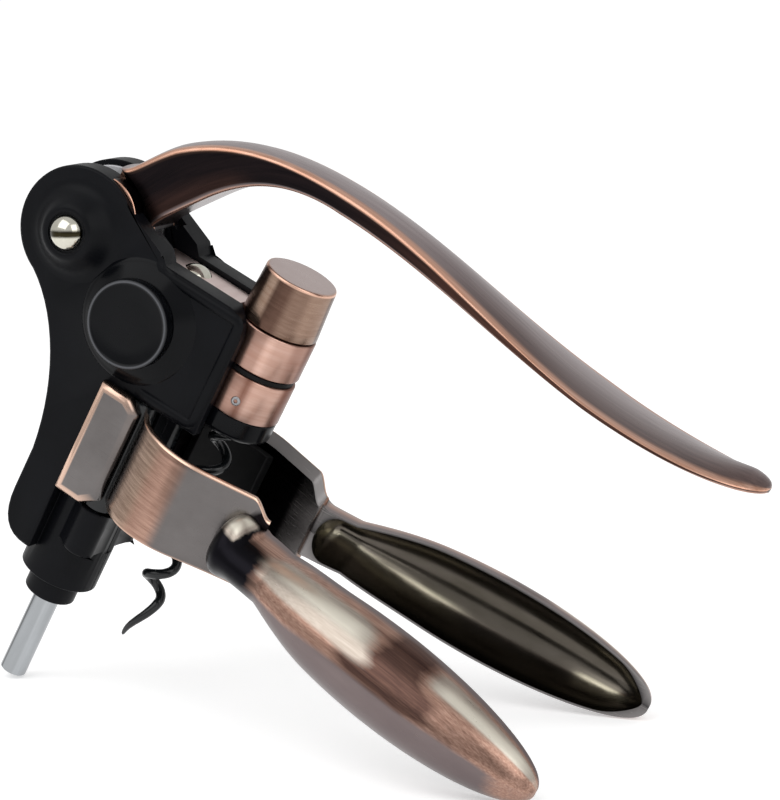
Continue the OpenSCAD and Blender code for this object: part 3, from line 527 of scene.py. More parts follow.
BORDER = [(-31.4, 5.6), (-28.4, 2.7), (-4.6, 2.7), (-4.6, -27.2), (-22.5, -27.2)]
BORDER_BEND, BORDER_STEP, BORDER_WIDTH, BORDER_HEIGHT = 2.0, 1.0, 3.0, 0.65
BELL = [(13.4, -0.03), (12.8, 0.03), (12.1, 0.13), (11.4, 0.34), (10.8, 0.68), (10.1, 1.25), (9.3, 2.15), (8.4, 3.25),
        (7.6, 4.2), (7.0, 4.85), (6.45, 5.24), (5.9, 5.36), (5.45, 5.3), (5.15, 5.1), (5.05, 4.7), (5.05, 2.0)]
BOSS = [(16.2, -0.3), (16.0, 0.04), (15.2, 0.2), (14.5, 0.6), (13.5, 1.1), (11.6, 2.15), (10.9, 2.45), (10.4, 2.52)]
DISC = [(3.9, 2.3), (10.6, 2.5), (11.05, 2.65), (11.3, 3.0), (11.3, 5.55), (11.22, 5.98), (10.98, 6.28),
        (10.62, 6.4), (10.28, 6.33), (10.05, 6.15), (9.7, 6.02), (6.0, 6.0), (0.0, 6.04)]
# Share of painted highlight on each ring of the knob's profile, at its rim.
DISC_RIM_HIGHLIGHT = [0, 0, 0, 0, 0, 0, 0.35, 1, 0.1, 0, 0, 0, 0]
border = evenly(rounded_path(BORDER, BORDER_BEND), BORDER_STEP)
for side, sign in SIDES:
    outward = (0, sign, 0)
    pivot_foot, knob_foot = (PIVOT.x, sign * BODY_HALF, 0), (KNOB[0], sign * BODY_HALF, KNOB[1])
    piece(side + "_panel_border", ridge(border, sign, BORDER_WIDTH, BORDER_HEIGHT), "frame", black)
    bell = turned(BELL, pivot_foot, outward, capped=False)
    piece(side + "_pivot_collar", bell, "frame", black, corner=60)
    boss = turned(BOSS, knob_foot, outward, capped=False)
    piece(side + "_knob_boss", boss, "frame", glossy_black, corner=60)
    piece(side + "_knob_disc", turned(DISC, knob_foot, outward), "frame", glossy_black, [side + "_knob"],
          corner=50, flags={"rim": [share for share in DISC_RIM_HIGHLIGHT for k in range(ROUND)]})
print("border of", len(border), "points")

# %% [markdown]
# ## Lever pin, guide rod and barrel
# Turned metal: the pin's domed head, the rod with its domed nut and the two rings of the barrel. The solids are
# exact here, so eased copies with the right metal do most of the work.

# %% Turned metal
CAP_BANDS = ((204, 216, 10, 0.1), (243, 254, 9, 0.75), (294, 308, 14, 0.22), (322, 352, 14, 0.42))
RING_BANDS = ((222, 238, 8, 0.75), (250, 285, 16, 0.5), (292, 318, 12, 0.7), (330, 345, 12, 0.4))
NUT_BANDS = ((222, 236, 8, 0.35), (250, 275, 14, 0.45), (298, 334, 14, 0.75))
ROD_BANDS = ((-20, 222, 6, 0.7), (242, 310, 12, 0.75), (310, 380, 16, 0.9))
SHADOW = 0.08
ARM_START, ARM_SOFT = 10.4, 0.4
REFLECTION_SLOPE, REFLECTION_RUN, REFLECTION_BAND, HEAD_START = 0.54, 1.14, (-0.6, 0.4, 0.7), 4
rod_x = measured(sum(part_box("guide_rod"), Vector()) / 2)[0]


def light_round(p, bands):
    """Tone of turned metal round an upright axis, from bands of light as (low, high, soft, gain) in degrees."""
    turn = degrees(atan2(p[1], p[0])) % 360
    return min(1, SHADOW + sum(gain * within(turn, low, high, soft) for low, high, soft, gain in bands))


def on_arm(p):
    """1 on the carriage's arm, past the round of the barrel."""
    return smooth((hypot(p[0], p[1]) - ARM_START) / ARM_SOFT)


def painted_reflection(p):
    """Painted reflection: a dark slanting band across the domed heads of the pin."""
    height = (p[2] - REFLECTION_SLOPE * (p[0] - PIVOT.x)) / REFLECTION_RUN
    return within(height, *REFLECTION_BAND) * smooth(abs(p[1]) - BODY_HALF - HEAD_START)


for node in ("lever_pin", "lever_pin_cap"):
    eased(node, 0.25, nickel, flags={"painted_reflection": painted_reflection})
eased("guide_rod", 0.35, bright_steel,
      flags={"band": lambda p: light_round((p[0] - rod_x, p[1]), ROD_BANDS)})
eased("rod_nut", 0.2, nickel)
for node in ("carriage", "nut_housing"):
    eased(node, 0.35, ring_copper, flags={"arm": on_arm, "band": 0.5})
eased("worm_nut", 0.5, glossy_black)
eased("buffer_ring", 0.2, rubber)
eased("rod_bush", 0.5, black)
for node in ("drive_gear", "gear_rivets", "rack_bar", "carriage_pin", "worm_washer", "worm_screw", "nut_pin",
             "shell_screws"):
    eased(node, 0.12, plain_steel)
print("turned pieces, with the rod at", round(rod_x, 2))

# %% [markdown]
# The two rings are turned once more as thin skins, since only a mesh with many sides can carry the bands of
# light round them. A slab lies on the carriage's arm, in the arm's paler tone. The cap is turned with more
# rings, so that its side, its rim and its flat top can differ in tone. The small screw in the nut's ring is a
# button head with a socket.

# %% Rings, arm, worm cap and nut screw
RING_R = 10.27
RING_EDGE = ((1, -0.04), (0.4, -0.02), (0.1, 0.12), (0, 0.4))
for title, body, low, high, bands in (("carriage", "carriage", -8.2, 2.6, RING_BANDS),
                                      ("nut", "frame", -20.9, -9.9, NUT_BANDS)):
    profile = [(RING_R - depth, low + rise) for depth, rise in RING_EDGE]
    profile += [(RING_R - depth, high - rise) for depth, rise in reversed(RING_EDGE)]
    skin = turned(profile, (0, 0, 0), (0, 0, 1), capped=False)
    piece(title + "_ring_skin", skin, body, ring_copper, corner=50,
          flags={"band": lambda p: light_round(p, bands)})

SLAB = [(-36.2, -5.5), (-10.4, -5.5), (-10.4, 5.5), (-36.2, 5.5)]
SLAB_LOW, SLAB_HIGH, SLAB_EASE = 1.8, 3.5, 0.4
slab = loft([[(x, y, z) for x, y in SLAB] for z in (SLAB_LOW, SLAB_HIGH)])
flags = {"band": 1.0, "arm": 1.0}
ease_edges(piece("carriage_arm_slab", slab, "carriage", ring_copper, flags=flags), SLAB_EASE)

CAP = [(6.4, 1.2), (6.4, 3.0), (9.7, 3.0), (10.0, 3.08), (10.15, 3.35), (10.0, 6.0), (9.77, 9.7), (9.55, 13.4),
       (9.44, 16.0), (9.4, 16.3), (9.34, 16.52), (9.2, 16.75), (8.9, 16.88), (8.5, 16.9), (4.0, 16.92), (0.0, 16.93)]
CAP_RIM, CAP_TOP, CAP_TOP_SOFT = (16.3, 16.8, 0.2), 16.86, 0.03
flags = {"band": lambda p: light_round(p, CAP_BANDS),
         "rim": lambda p: within(p[2], *CAP_RIM),
         "top": lambda p: smooth((p[2] - CAP_TOP) / CAP_TOP_SOFT)}
cap = turned(CAP, (0, 0, 0), (0, 0, 1))
piece("worm_cap_turned", cap, "carriage", cap_bronze, ["worm_cap"], corner=50, flags=flags)

BUTTON = [(1.25, -1.2), (1.25, 0.15), (1.15, 0.35), (0.9, 0.48), (0.6, 0.5), (0.5, 0.42), (0.48, 0.05), (0.0, 0.03)]
SCREW_TURN, SCREW_SEAT, SCREW_HEIGHT, SCREW_SIDES = radians(-79), 10.1, -16.5, 32
screw_axis = Vector((cos(SCREW_TURN), sin(SCREW_TURN), 0))
button = turned(BUTTON, SCREW_SEAT * screw_axis + Vector((0, 0, SCREW_HEIGHT)), screw_axis, SCREW_SIDES)
piece("nut_screw_button", button, "frame", plain_steel, ["nut_screw"], corner=50)
print("cap of", len(CAP), "rings")

# %% [markdown]
# ## Lever
# The lever is a curved bar: deep at its root, thin and broad at its tip. Its upper and lower edges are two
# pairs of curves in side view. At each place along them a ring is drawn with rounded corners and a crowned
# top, and a loft joins the rings. The root is hollowed to follow the round end of the shells.

# %% Lever
LEVER_TOP = ((PIVOT.x + 1, 18.3), (PIVOT.x + 13.9, 34), (-26.8, 42.7), (2, 42.7),
             (41.8, 42.7), (71.8, 23.5), (126.8, 33.8))
LEVER_UNDER = ((PIVOT.x + 15.6, 8.2), (PIVOT.x + 24.9, 25.2), (-19, 38.6), (4, 37.6),
               (42, 37.6), (81.5, 23.3), (126.8, 32.6))
LEVER_ROOT_HALF, LEVER_WIDE_HALF, LEVER_GROWTH = 7.4, 13.0, 1.37
TIP_POWER, TIP_LEAST = 14, 0.05
LOW_CORNER, LOW_STEPS, TOP_CORNER, TOP_STEPS = 0.8, 4, 1.5, 7
CROWN, TIP_CROWN = 0.8, 2.4
HUG_UNTIL, HUG_R, HUG_RISE = 0.3, 17.3, 0.7
ROOT_STATIONS, TIP_STATIONS, TIP_CROWDING = 40, 60, 1.6
GRAIN_RUN = 60


def lever_edge(curve, t):
    """Point of an edge in side view: t is 0 at the root, 1 at the top of the bend and 2 at the tip."""
    return cubic(*curve[:4], t) if t < 1 else cubic(*curve[3:], t - 1)


def lever_half(t):
    """Half the bar's width, which grows past the bend and rounds off at the tip."""
    if t < 1:
        return LEVER_ROOT_HALF
    grown = LEVER_ROOT_HALF + (LEVER_WIDE_HALF - LEVER_ROOT_HALF) * min(1, LEVER_GROWTH * smooth(t - 1))
    return grown * sqrt(max(0, 1 - (t - 1) ** TIP_POWER)) + TIP_LEAST


def lever_section(half, depth, crown):
    """Half outline of a ring as (across, level, bright, dark), from the middle of its underside to its top."""
    low = min(LOW_CORNER, 0.42 * depth, 0.5 * half)
    top = min(TOP_CORNER, 0.48 * depth, 0.5 * half)
    outline = [(share * (half - low), 0, 0, 0.55) for share in (0, 0.35, 0.7, 0.92)]
    for k in range(LOW_STEPS + 1):
        a = pi / 2 * k / LOW_STEPS
        outline.append((half - low + low * sin(a), low - low * cos(a), sin(2 * a) * 0.7, 0.7))
    for share in (0.06, 0.25, 0.5, 0.75, 0.94):
        # The sides take the dark tone: patina, with painted dark reflection over it.
        outline.append((half, low + share * (depth - low - top), 0, 1))
    for k in range(TOP_STEPS + 1):
        a = pi / 2 * k / TOP_STEPS
        across, level = half - top + top * cos(a), depth - top + top * sin(a)
        outline.append((across, level, within(a, 0.3, 1.45, 0.35), 1 if a < 0.5 else 0.25))
    for share in (0.97, 0.92, 0.84, 0.66, 0.44, 0.22, 0):
        bright = 0.8 * smooth((share - 0.88) / 0.09)
        outline.append((share * (half - top), depth + crown * (1 - share * share), bright, 0))
    return outline


def lever_ring(t):
    """Points of a ring, each with its place along the bar and its bright, dark and warm numbers."""
    upper, lower, half = lever_edge(LEVER_TOP, t), lever_edge(LEVER_UNDER, t), lever_half(t)
    depth = (upper - lower).length
    up = (upper - lower) / depth
    crown = (CROWN + TIP_CROWN * min(1, max(0, 2 * (t - 1)))) * min(1, half / LEVER_ROOT_HALF)
    near = lever_section(half, depth, crown)
    ring = [(-y, *rest) for y, *rest in near] + near[-2:0:-1]
    pivot, hug = Vector((PIVOT.x, 0)), max(0, 1 - t / HUG_UNTIL) ** 2
    points = []
    for y, level, bright, dark in ring:
        spot = lower + level * up
        out = spot - pivot
        share = min(1, max(0, level / depth))
        spot = spot.lerp(pivot + (HUG_R + HUG_RISE * share) / out.length * out, hug)
        warm = 0.5 * smooth((0.5 - share) / 0.5) * within(t, 0.12, 0.45, 0.2) + smooth((t - 0.95) / 0.6)
        # Painted reflection: past the bend the top darkens towards its near edge.
        if level >= depth:
            dark = (0.2 + 0.6 * smooth((t - 1.05) / 0.5)) * smooth((0.85 - y / half) / 1.7)
        points.append(((spot.x, y, spot.y), (GRAIN_RUN * t, y, level), bright * smooth(t / 0.06), dark, min(1, warm)))
    return points


stations = [i / ROOT_STATIONS for i in range(ROOT_STATIONS)]
stations += [2 - (1 - i / TIP_STATIONS) ** TIP_CROWDING for i in range(TIP_STATIONS + 1)]
rings = [lever_ring(t) for t in stations]
bar = loft([[spot[0] for spot in ring] for ring in rings])
spots = [spot for ring in rings for spot in ring]
flags = columns(("bright", "dark", "warm"), [spot[2:] for spot in spots])
piece("lever_bar", bar, "lever", lever_copper, ["lever"], corner=60, flags=flags,
      along=[spot[1] for spot in spots])
print("lever rings", len(rings), "of", len(rings[0]), "points")

# %% [markdown]
# The lever's fork reaches into the slot between the shells. Its two cheeks are discs on the pin, and a saddle
# of thin plate hugs the round end where the bar leaves it. The saddle's rim is bare copper and swells in the
# middle, so it shows from the side as a bright crescent.

# %% Lever fork and saddle
FORK_CHEEK = [(4.1, 4.25), (14.6, 4.25), (15.0, 4.45), (15.0, 5.45), (14.6, 5.65), (4.1, 5.65)]
BENT_STEPS = 40
for side, sign in SIDES:
    cheek = turned(FORK_CHEEK, (PIVOT.x, 0, 0), (0, sign, 0), capped=False)
    piece(side + "_fork_cheek", cheek, "lever", plain_steel)


def bent_bar(low_r, high_r, half, first, last, swell=0.0, rim=0.4):
    """A bar bent round the pivot between two angles in degrees, with the numbers that steer its finish."""
    rings, bright = [], []
    for i in range(BENT_STEPS + 1):
        a = radians(first + (last - first) * i / BENT_STEPS)
        top = high_r + swell * sin(pi * i / BENT_STEPS)
        near = [(low_r, half, 1), (top - 0.5 * rim, half, 1), (top, half - 0.5 * rim, 1), (top, half - 2 * rim, 0)]
        far = [(r, -y, b) for r, y, b in reversed(near)]
        rings.append([(PIVOT.x + r * cos(a), y, r * sin(a)) for r, y, b in near + far])
        bright += [b for r, y, b in near + far]
    return loft(rings), {"bright": bright, "dark": 1.0}


bridge, flags = bent_bar(low_r=14.2, high_r=17.6, half=5.6, first=28, last=86)
piece("lever_fork_bridge", bridge, "lever", lever_copper, flags=flags)
saddle, flags = bent_bar(low_r=16.5, high_r=16.62, half=12.0, first=43, last=80, swell=0.6, rim=0.3)
piece("lever_saddle", saddle, "lever", lever_copper, flags=flags)
print("saddle of", len(saddle[0]), "points")

# %% [markdown]
# ## Worm
# The worm is a wire wound into a coil that never touches itself, drawn in to a point. A tube swept along the
# helix gives it: each ring stands square to the wire, and the last turn narrows and runs out straight.

# %% Worm
WORM_LEAD, WORM_MID, WORM_WIRE, WORM_PHASE = 10.5, 3.0, 1.3, 190
WORM_TOP, WORM_TIP, WORM_TAPER = -3.0, -91.5, 12.5
TIP_TURN, TIP_MID, TIP_WIRE, TIP_BLUNT = 0.36, 0.62, 0.14, 0.45
WORM_RINGS, WIRE_SIDES, NEARBY = 260, 14, 0.05
worm_start = WORM_TIP + WORM_TAPER


def worm_angle(z):
    """How far round the wire is at height z; below the taper's start it turns more slowly."""
    turn = max(z, worm_start) + TIP_TURN * min(0, z - worm_start)
    return radians(WORM_PHASE + 360 / WORM_LEAD * turn)


def worm_wire(z):
    """Centre of the wire and its radius at height z."""
    drawn = min(1, max(0, (z - WORM_TIP) / WORM_TAPER))
    reach = WORM_MID * (TIP_MID + (1 - TIP_MID) * drawn)
    centre = Vector((reach * cos(worm_angle(z)), reach * sin(worm_angle(z)), z))
    return centre, WORM_WIRE * (TIP_WIRE + (1 - TIP_WIRE) * drawn ** TIP_BLUNT)


rings = []
for i in range(WORM_RINGS + 1):
    z = WORM_TIP + (WORM_TOP - WORM_TIP) * i / WORM_RINGS
    centre, radius = worm_wire(z)
    along = (worm_wire(z + NEARBY)[0] - worm_wire(z - NEARBY)[0]).normalized()
    out = Vector((cos(worm_angle(z)), sin(worm_angle(z)), 0))
    out = (out - out.dot(along) * along).normalized()
    side = along.cross(out)
    rings.append([centre + radius * (cos(b) * out + sin(b) * side)
                  for b in [2 * pi * k / WIRE_SIDES for k in range(WIRE_SIDES)]])
piece("worm_coil", loft(rings), "worm", worm_coat, ["worm"], corner=60)
print("worm from", WORM_TIP, "to", WORM_TOP)

# %% [markdown]
# ## Grips
# Each grip is one casting: a flat tail plate behind the hinge, a jaw that curves round the bottle neck, and a
# hollow leaf-shaped handle. It is built with the jaws closed and then turned open about its hinge, so that
# the brushed grain of the handle runs along the handle's own length. The right grip is the left one mirrored.

# %% Grip frames
JAW_R, JAW_WALL, JAW_TOP, JAW_LOW = 20.8, 2.6, -31.3, -57.3
JAW_START, STRAP_ANGLE, STRAP_LEN = radians(214), radians(300), 19.0
to_hinge = Matrix.Translation(MM * Vector((HINGE.x, HINGE.y, 0)))
OPEN = to_hinge @ Matrix.Rotation(-GRIP_SWING, 4, "Z") @ to_hinge.inverted()
ACROSS = Matrix.Diagonal((1, -1, 1, 1))


def both_grips(name, form, finish, corner, flags):
    """The same piece on the left grip and, mirrored, on the right one."""
    return [piece(side + "_" + name, form, side + "_grip", finish, [side + "_grip"], corner, move, flags)
            for side, move in (("left", OPEN), ("right", ACROSS @ OPEN))]


print("grips stand open by", round(degrees(GRIP_SWING), 1), "degrees")

# %% [markdown]
# ### Jaw
# The jaw is a band: an arc round the worm, then a straight run inwards at the front. Its lower edge rises a
# little towards the front and its upper front corner is cut in a soft S, where it runs into the handle. The
# rim is rubbed bright, the part near the hinge is brushed, and painted shade lies round the handle's root, so
# the rings carry those numbers along.

# %% Jaw bands
jaw_arc = JAW_R * (STRAP_ANGLE - JAW_START)
jaw_length = jaw_arc + STRAP_LEN
ROOT_HEIGHT, ROOT_LONG, ROOT_TALL = -43.7, 7.4, 10.8
JAW_SOFT, JAW_RISE, JAW_CUT, CUT_RUN = 0.8, 2.3, 4.2, 6
CHAMFER_IN, CHAMFER_FALL, INSIDE_FALL = 1.4, 2.8, 3.0
BRUSHED, PINK, STRIPE = (9.5, 17, 3), (18.8, 23.2, 4), (23.6, 24.6, 2.6)
JAW_STEPS, FACE_STEPS, CHAMFER_STEPS, INSIDE_STEPS = 90, 18, 5, 8


def jaw_line(s):
    """Point on the band's outer face and its outward direction, s millimetres along from the hinge."""
    a = min(JAW_START + s / JAW_R, STRAP_ANGLE)
    out = Vector((cos(a), sin(a)))
    return JAW_R * out + max(0, s - jaw_arc) * Vector((-out.y, out.x)), out


def jaw_ring(s):
    """Points of the band's cross-section, each with its bright, dark, brushed, pink and pale numbers."""
    spot, out = jaw_line(s)
    low = JAW_LOW + JAW_RISE * smooth(s / jaw_length)
    high = JAW_TOP - JAW_CUT * smooth((s - jaw_length + CUT_RUN) / CUT_RUN)
    inside = high - INSIDE_FALL
    brushed, pink, stripe = within(s, *BRUSHED), 0.9 * within(s, *PINK), 0.4 * within(s, *STRIPE)
    shade = 1 - smooth((s - jaw_length + 9) / 2)
    ring = []

    def add(depth, z, bright, dark, pale=0.0):
        ring.append(((spot.x - depth * out.x, spot.y - depth * out.y, z), bright, dark, brushed, pink, pale))

    for k in range(FACE_STEPS + 1):
        z = low + JAW_SOFT + (high - low - 2 * JAW_SOFT) * k / FACE_STEPS
        # Painted shade round the handle's root, and a darker strip across the band.
        reach = hypot((s - jaw_length) / ROOT_LONG, (z - ROOT_HEIGHT) / ROOT_TALL)
        add(0, z, 0, max(smooth((1.05 - reach) / 0.1), stripe * smooth((z - low - 4) / 14)))
    for depth, z, bright in ((0.08, high - 0.6, 1), (0.4, high - 0.15, 1), (0.8, high, 0.8), (1.15, high, 0.3)):
        add(depth, z, bright, 0)
    for share in [k / CHAMFER_STEPS for k in range(CHAMFER_STEPS + 1)]:
        add(JAW_WALL - CHAMFER_IN * (1 - share), high - 0.1 - CHAMFER_FALL * share, 0, 0, 1)
    for k in range(INSIDE_STEPS + 1):
        add(JAW_WALL, inside - (inside - low - JAW_SOFT) * k / INSIDE_STEPS, 0, shade)
    add(JAW_WALL - JAW_SOFT, low, 0, 0.5)
    add(JAW_SOFT, low, 0.4, 0)
    add(0.25, low + 0.2, 0.6, 0)
    return ring


rings = [jaw_ring(jaw_length * i / JAW_STEPS) for i in range(JAW_STEPS + 1)]
band = loft([[spot[0] for spot in ring] for ring in rings])
flags = columns(("bright", "dark", "brushed", "pink", "pale"), [spot[1:] for ring in rings for spot in ring])
both_grips("jaw_band", band, jaw_metal, 40, flags)
print("jaw band", round(jaw_length, 1), "mm long")

# %% [markdown]
# ### Tail plate and knuckle
# Behind the hinge the casting ends in a flat plate with bright bevelled edges, which narrows to the height of
# the jaw in front, and a knuckle holds the pin. They lie along the shells in the open pose, so they are drawn
# in the tool's own axes.

# %% Tail plates
TAIL_SIDE = [(-30.0, -60.3), (-22.0, -60.3), (-17.5, -57.1), (-17.5, -31.6), (-21.5, -28.8), (-30.0, -28.8)]
TAIL_RUB = [1, 0.8, 0, 0.05, 0.8, 1]
TAIL_IN, TAIL_OUT, TAIL_BEVEL = 13.8, 17.0, 1.8
TAIL_RINGS = ((TAIL_IN, 0, 0), (TAIL_OUT - TAIL_BEVEL, 0, 0.3), (TAIL_OUT - 0.75 * TAIL_BEVEL, 0.1, 1),
              (TAIL_OUT - 0.25 * TAIL_BEVEL, 0.5, 1), (TAIL_OUT, TAIL_BEVEL, 0.7), (TAIL_OUT, TAIL_BEVEL + 0.4, 0))
SLEEVE = [(1.8, -60.8), (3.3, -60.8), (3.6, -60.5), (3.6, -29.7), (3.3, -29.4), (1.8, -29.4)]
WEB = [(-23.0, 13.9), (-23.0, 15.0), (-18.6, 15.0), (-16.9, 13.2), (-18.0, 11.0), (-20.5, 11.5)]
WEB_LOW, WEB_HIGH, SLEEVE_SIDES = -56.4, -32.2, 72


def inset(corners, depth):
    """A polygon's corners moved inwards so that each side moves by depth."""
    moved = []
    for i, corner in enumerate(corners):
        here, before, after = (Vector(corners[k % len(corners)]) for k in (i, i - 1, i + 1))
        first, second = (here - before).normalized(), (after - here).normalized()
        inward = Vector((-first.y, first.x)) + Vector((-second.y, second.x))
        moved.append(here + depth * inward / (1 + first.dot(second)))
    return moved


rings, bright = [], []
for y, depth, share in TAIL_RINGS:
    rings.append([(p.x, y, p.y) for p in inset(TAIL_SIDE, depth)])
    bright += [share * rub for rub in TAIL_RUB]
for side, sign in SIDES:
    body = side + "_grip"
    plate = loft([[(x, sign * y, z) for x, y, z in ring] for ring in rings])
    piece(side + "_tail_plate", plate, body, jaw_metal, [body], corner=50, flags={"bright": bright})
    sleeve = turned(SLEEVE, (HINGE.x, sign * abs(HINGE.y), 0), (0, 0, 1), SLEEVE_SIDES, capped=False)
    piece(side + "_knuckle", sleeve, body, worm_coat)
    web = loft([[(x, sign * y, z) for x, y in WEB] for z in (WEB_LOW, WEB_HIGH)])
    piece(side + "_tail_web", web, body, worm_coat)
print("tail plates", round(TAIL_SIDE[4][1] - TAIL_SIDE[0][1], 1), "mm tall")

# %% [markdown]
# ### Handle
# The handle is a hollow half leaf. Each ring runs round the outside, in over the rim and back round the
# inside, so one loft makes the skin, the rim and the hollow, and each face takes the finish of its part. The
# root swells where it leaves the jaw.

# %% Handles
HANDLE_X, HANDLE_Z, HANDLE_LEN, HANDLE_HALF = 24.6, -45.7, 98.6, 11.7
HANDLE_DEPTH, HANDLE_RIM, HANDLE_WALL = 15.0, 12.6, 0.6
OUTER_STEPS, INNER_STEPS = 40, 28
HOLLOW_START, HOLLOW_END = 0.03, 0.978
LEAF_LEAN, LEAF_FULL = 1.1, 0.4
ROOT_CAP, ROOT_LEAST = 0.0625, 0.4
STRAP_X, STRAP_Y, STRAP_SLOPE = 9.75, -16.9, 0.577
SWING, SWING_START, SWING_RUN = 5.5, 28, 32
OPENING, CLOSING, SHUT = 0.05, 0.1, 0.0004
SKIN_POWER, HOLLOW_SHARE, WALL_LEAST = 0.92, 0.88, 0.3


def leaf(u):
    """Share of the greatest size at u along the handle."""
    return max(0.0, sin(pi * min(1, max(0, u)) ** LEAF_LEAN)) ** LEAF_FULL


def leaf_sizes(u):
    """Shares above the middle line, below it and in depth."""
    if u > 0.5:
        return leaf(u), leaf(u), leaf(u)
    slim = max(0.6, leaf(u) - 0.05 * smooth((0.35 - u) / 0.25))
    bulb = smooth((0.04 - u) / 0.08)
    return max(0.62 + 0.28 * bulb, leaf(u)), slim + 0.12 * bulb, slim


def rim_line(x):
    """Distance of the rim from the middle: inside the band at the root, then swinging out."""
    band = STRAP_Y + STRAP_SLOPE * (x - STRAP_X)
    return min(band, -HANDLE_RIM + SWING * (1 - smooth((x - SWING_START) / SWING_RUN)))


def handle_ring(u):
    """Points of a ring as (x, y, z) with how far round each is, from its top rim to its bottom rim and back."""
    x = HANDLE_X + HANDLE_LEN * u
    start = sqrt(max(0.01, 1 - max(0, -u / ROOT_CAP) ** 2))
    high, low, deep = leaf_sizes(u)
    swell = HANDLE_HALF * (ROOT_LEAST + (1 - ROOT_LEAST) * start)
    high, low = high * swell, low * swell
    rim = rim_line(x)
    outside = -HANDLE_RIM - HANDLE_DEPTH * deep * start
    opening = 1 - min(1, max(0, (u - HOLLOW_START) / OPENING))
    closing = max(0, 1 - (HOLLOW_END - u) / CLOSING)
    hollow = sqrt(max(SHUT, 1 - opening ** 2)) * sqrt(max(SHUT, 1 - closing ** 2))
    ring = []
    for k in range(OUTER_STEPS + 1):
        a = pi * k / OUTER_STEPS
        size = high if a < pi / 2 else low
        y = rim + (outside - rim) * sin(a) ** SKIN_POWER
        ring.append(((x, y, HANDLE_Z + size * cos(a)), degrees(a)))
    for k in range(INNER_STEPS + 1):
        a = pi * (1 - k / INNER_STEPS)
        size = high if a < pi / 2 else low
        size = max(WALL_LEAST * size, size - HANDLE_WALL)
        y = rim + (outside - rim) * HOLLOW_SHARE * hollow * sin(a)
        ring.append(((x, y, HANDLE_Z + size * hollow * cos(a)), degrees(a)))
    return ring


print("handle", HANDLE_LEN, "mm long")

# %% [markdown]
# Painted light lies along the handle in streaks, their edges broken by the brushing. Each is a patch: how strong
# it is, how far round it lies and how far along, with soft ends. Painted highlights lie on the upper flank and at
# the root, with painted white highlights in their midst, and painted dark reflections between them. The hollow
# has painted glints low on its wall.

# %% Streaks on the handles
PAINTED_HIGHLIGHTS = ((1, (18, 35, 8), (0.71, 0.95, 0.08)), (1, (14, 48, 10), (-0.05, 0.006, 0.012)))
SLANT = 0.0012
DARK_REFLECTIONS = ((0.85, (56, 78, 13), (0.5, 0.64, 0.12)), (0.8, (12, 64, 14), (0.56, 0.61, 0.08)))
PAINTED_SHINE = ((1, (16, 40, 8), (-0.05, -0.004, 0.01)), (0.85, (33, 45, 8), (0.17, 0.42, 0.09)),
         (0.8, (22, 34, 8), (0.73, 0.93, 0.07)))


def patches(u, turn, rows):
    """Sum of patches given as (gain, turns, places along)."""
    return sum(gain * within(turn, *turns) * within(u, *places) for gain, turns, places in rows)


def skin_numbers(u, turn):
    """Painted highlight, dark, under, root and white numbers of the outside at u along and turn degrees round."""
    painted_highlight = within(turn, 30, 61, 15) * within(u, 0.18, 0.46 + SLANT * (turn - 60), 0.1) + patches(u, turn, PAINTED_HIGHLIGHTS)
    dark = 0.3 * within(turn, 56, 78, 13) * smooth((u - 0.6) / 0.12) + patches(u, turn, DARK_REFLECTIONS)
    # Painted reflections: mauve on the underside and near black at the root; the top rim takes the mauve too.
    under = smooth((turn - 98 + 21 * smooth(u / 0.55)) / 14) * (1 - 0.8 * smooth((u - 0.86) / 0.1))
    under += 0.8 * (1 - smooth((turn - 3) / 12))
    root = smooth((0.2 - u) / 0.16) * smooth((turn - 16) / 28) + smooth((0.03 - u) / 0.02)
    return min(1, painted_highlight), min(1, dark), under, min(1, root), patches(u, turn, PAINTED_SHINE)


def hollow_numbers(u, turn):
    """The same numbers of the inside: painted glints, and painted shade on the upper wall and lower edge."""
    low = 112 + 18 * smooth((u - 0.04) / 0.2)
    glint = within(turn, low - 4, low + 4, 12) * (0.75 * within(u, 0.06, 0.36, 0.14) + within(u, 0.82, 0.92, 0.05))
    return glint, 0.9 * (1 - smooth((turn - 15) / 45)) + 0.5 * smooth((turn - 146) / 20), 0, 0, 0


print("streaks in", len(PAINTED_HIGHLIGHTS) + len(DARK_REFLECTIONS) + len(PAINTED_SHINE), "patches")

# %% Handles in place
HANDLE_STEPS, END_STEPS = 110, 9
FIRST, SPAN, START_RUN, END_RUN = -0.062, 1.0612, 0.0211, 0.0307
HOLLOW, RIM = 1, 2
where = [FIRST + SPAN * (1 - cos(pi * i / HANDLE_STEPS)) / 2 for i in range(HANDLE_STEPS + 1)]
for share in [(k / END_STEPS) ** 2 for k in range(END_STEPS + 1)]:
    where += [HOLLOW_START + START_RUN * share, HOLLOW_END - END_RUN * share]
where.sort()
rings = [handle_ring(u) for u in where]
ring_size = len(rings[0])
form = loft([[spot for spot, turn in ring] for ring in rings])
tones = [hollow_numbers(u, turn) if k > OUTER_STEPS else skin_numbers(u, turn)
         for u, ring in zip(where, rings) for k, (spot, turn) in enumerate(ring)]
flags = {"pale": 0.5, **columns(("painted_highlight", "dark", "under", "root", "painted_shine"), tones)}
for handle in both_grips("handle", form, [spoon_copper, hollow_metal, jaw_metal], 50, flags):
    for face in handle.data.polygons:
        spots = [v % ring_size for v in face.vertices]
        open_here = HOLLOW_START < where[min(face.vertices) // ring_size] < HOLLOW_END
        if len(spots) == 4 and min(spots) > OUTER_STEPS and open_here:
            face.material_index = HOLLOW
        elif len(spots) == 4 and max(spots) > OUTER_STEPS:
            face.material_index = RIM
print("handles", len(form[0]), "points each")

# %% [markdown]
# ## Stage, light and camera
# A pale floor, two soft lamps and an even surround give the plain studio light of a catalogue picture. The
# floor is lifted to white only for the eye and for reflections, by Light Path, so it adds no light to the
# object and still keeps its shadow. The camera stands where the photograph was taken from, given about the
# tool so that it follows the frame.

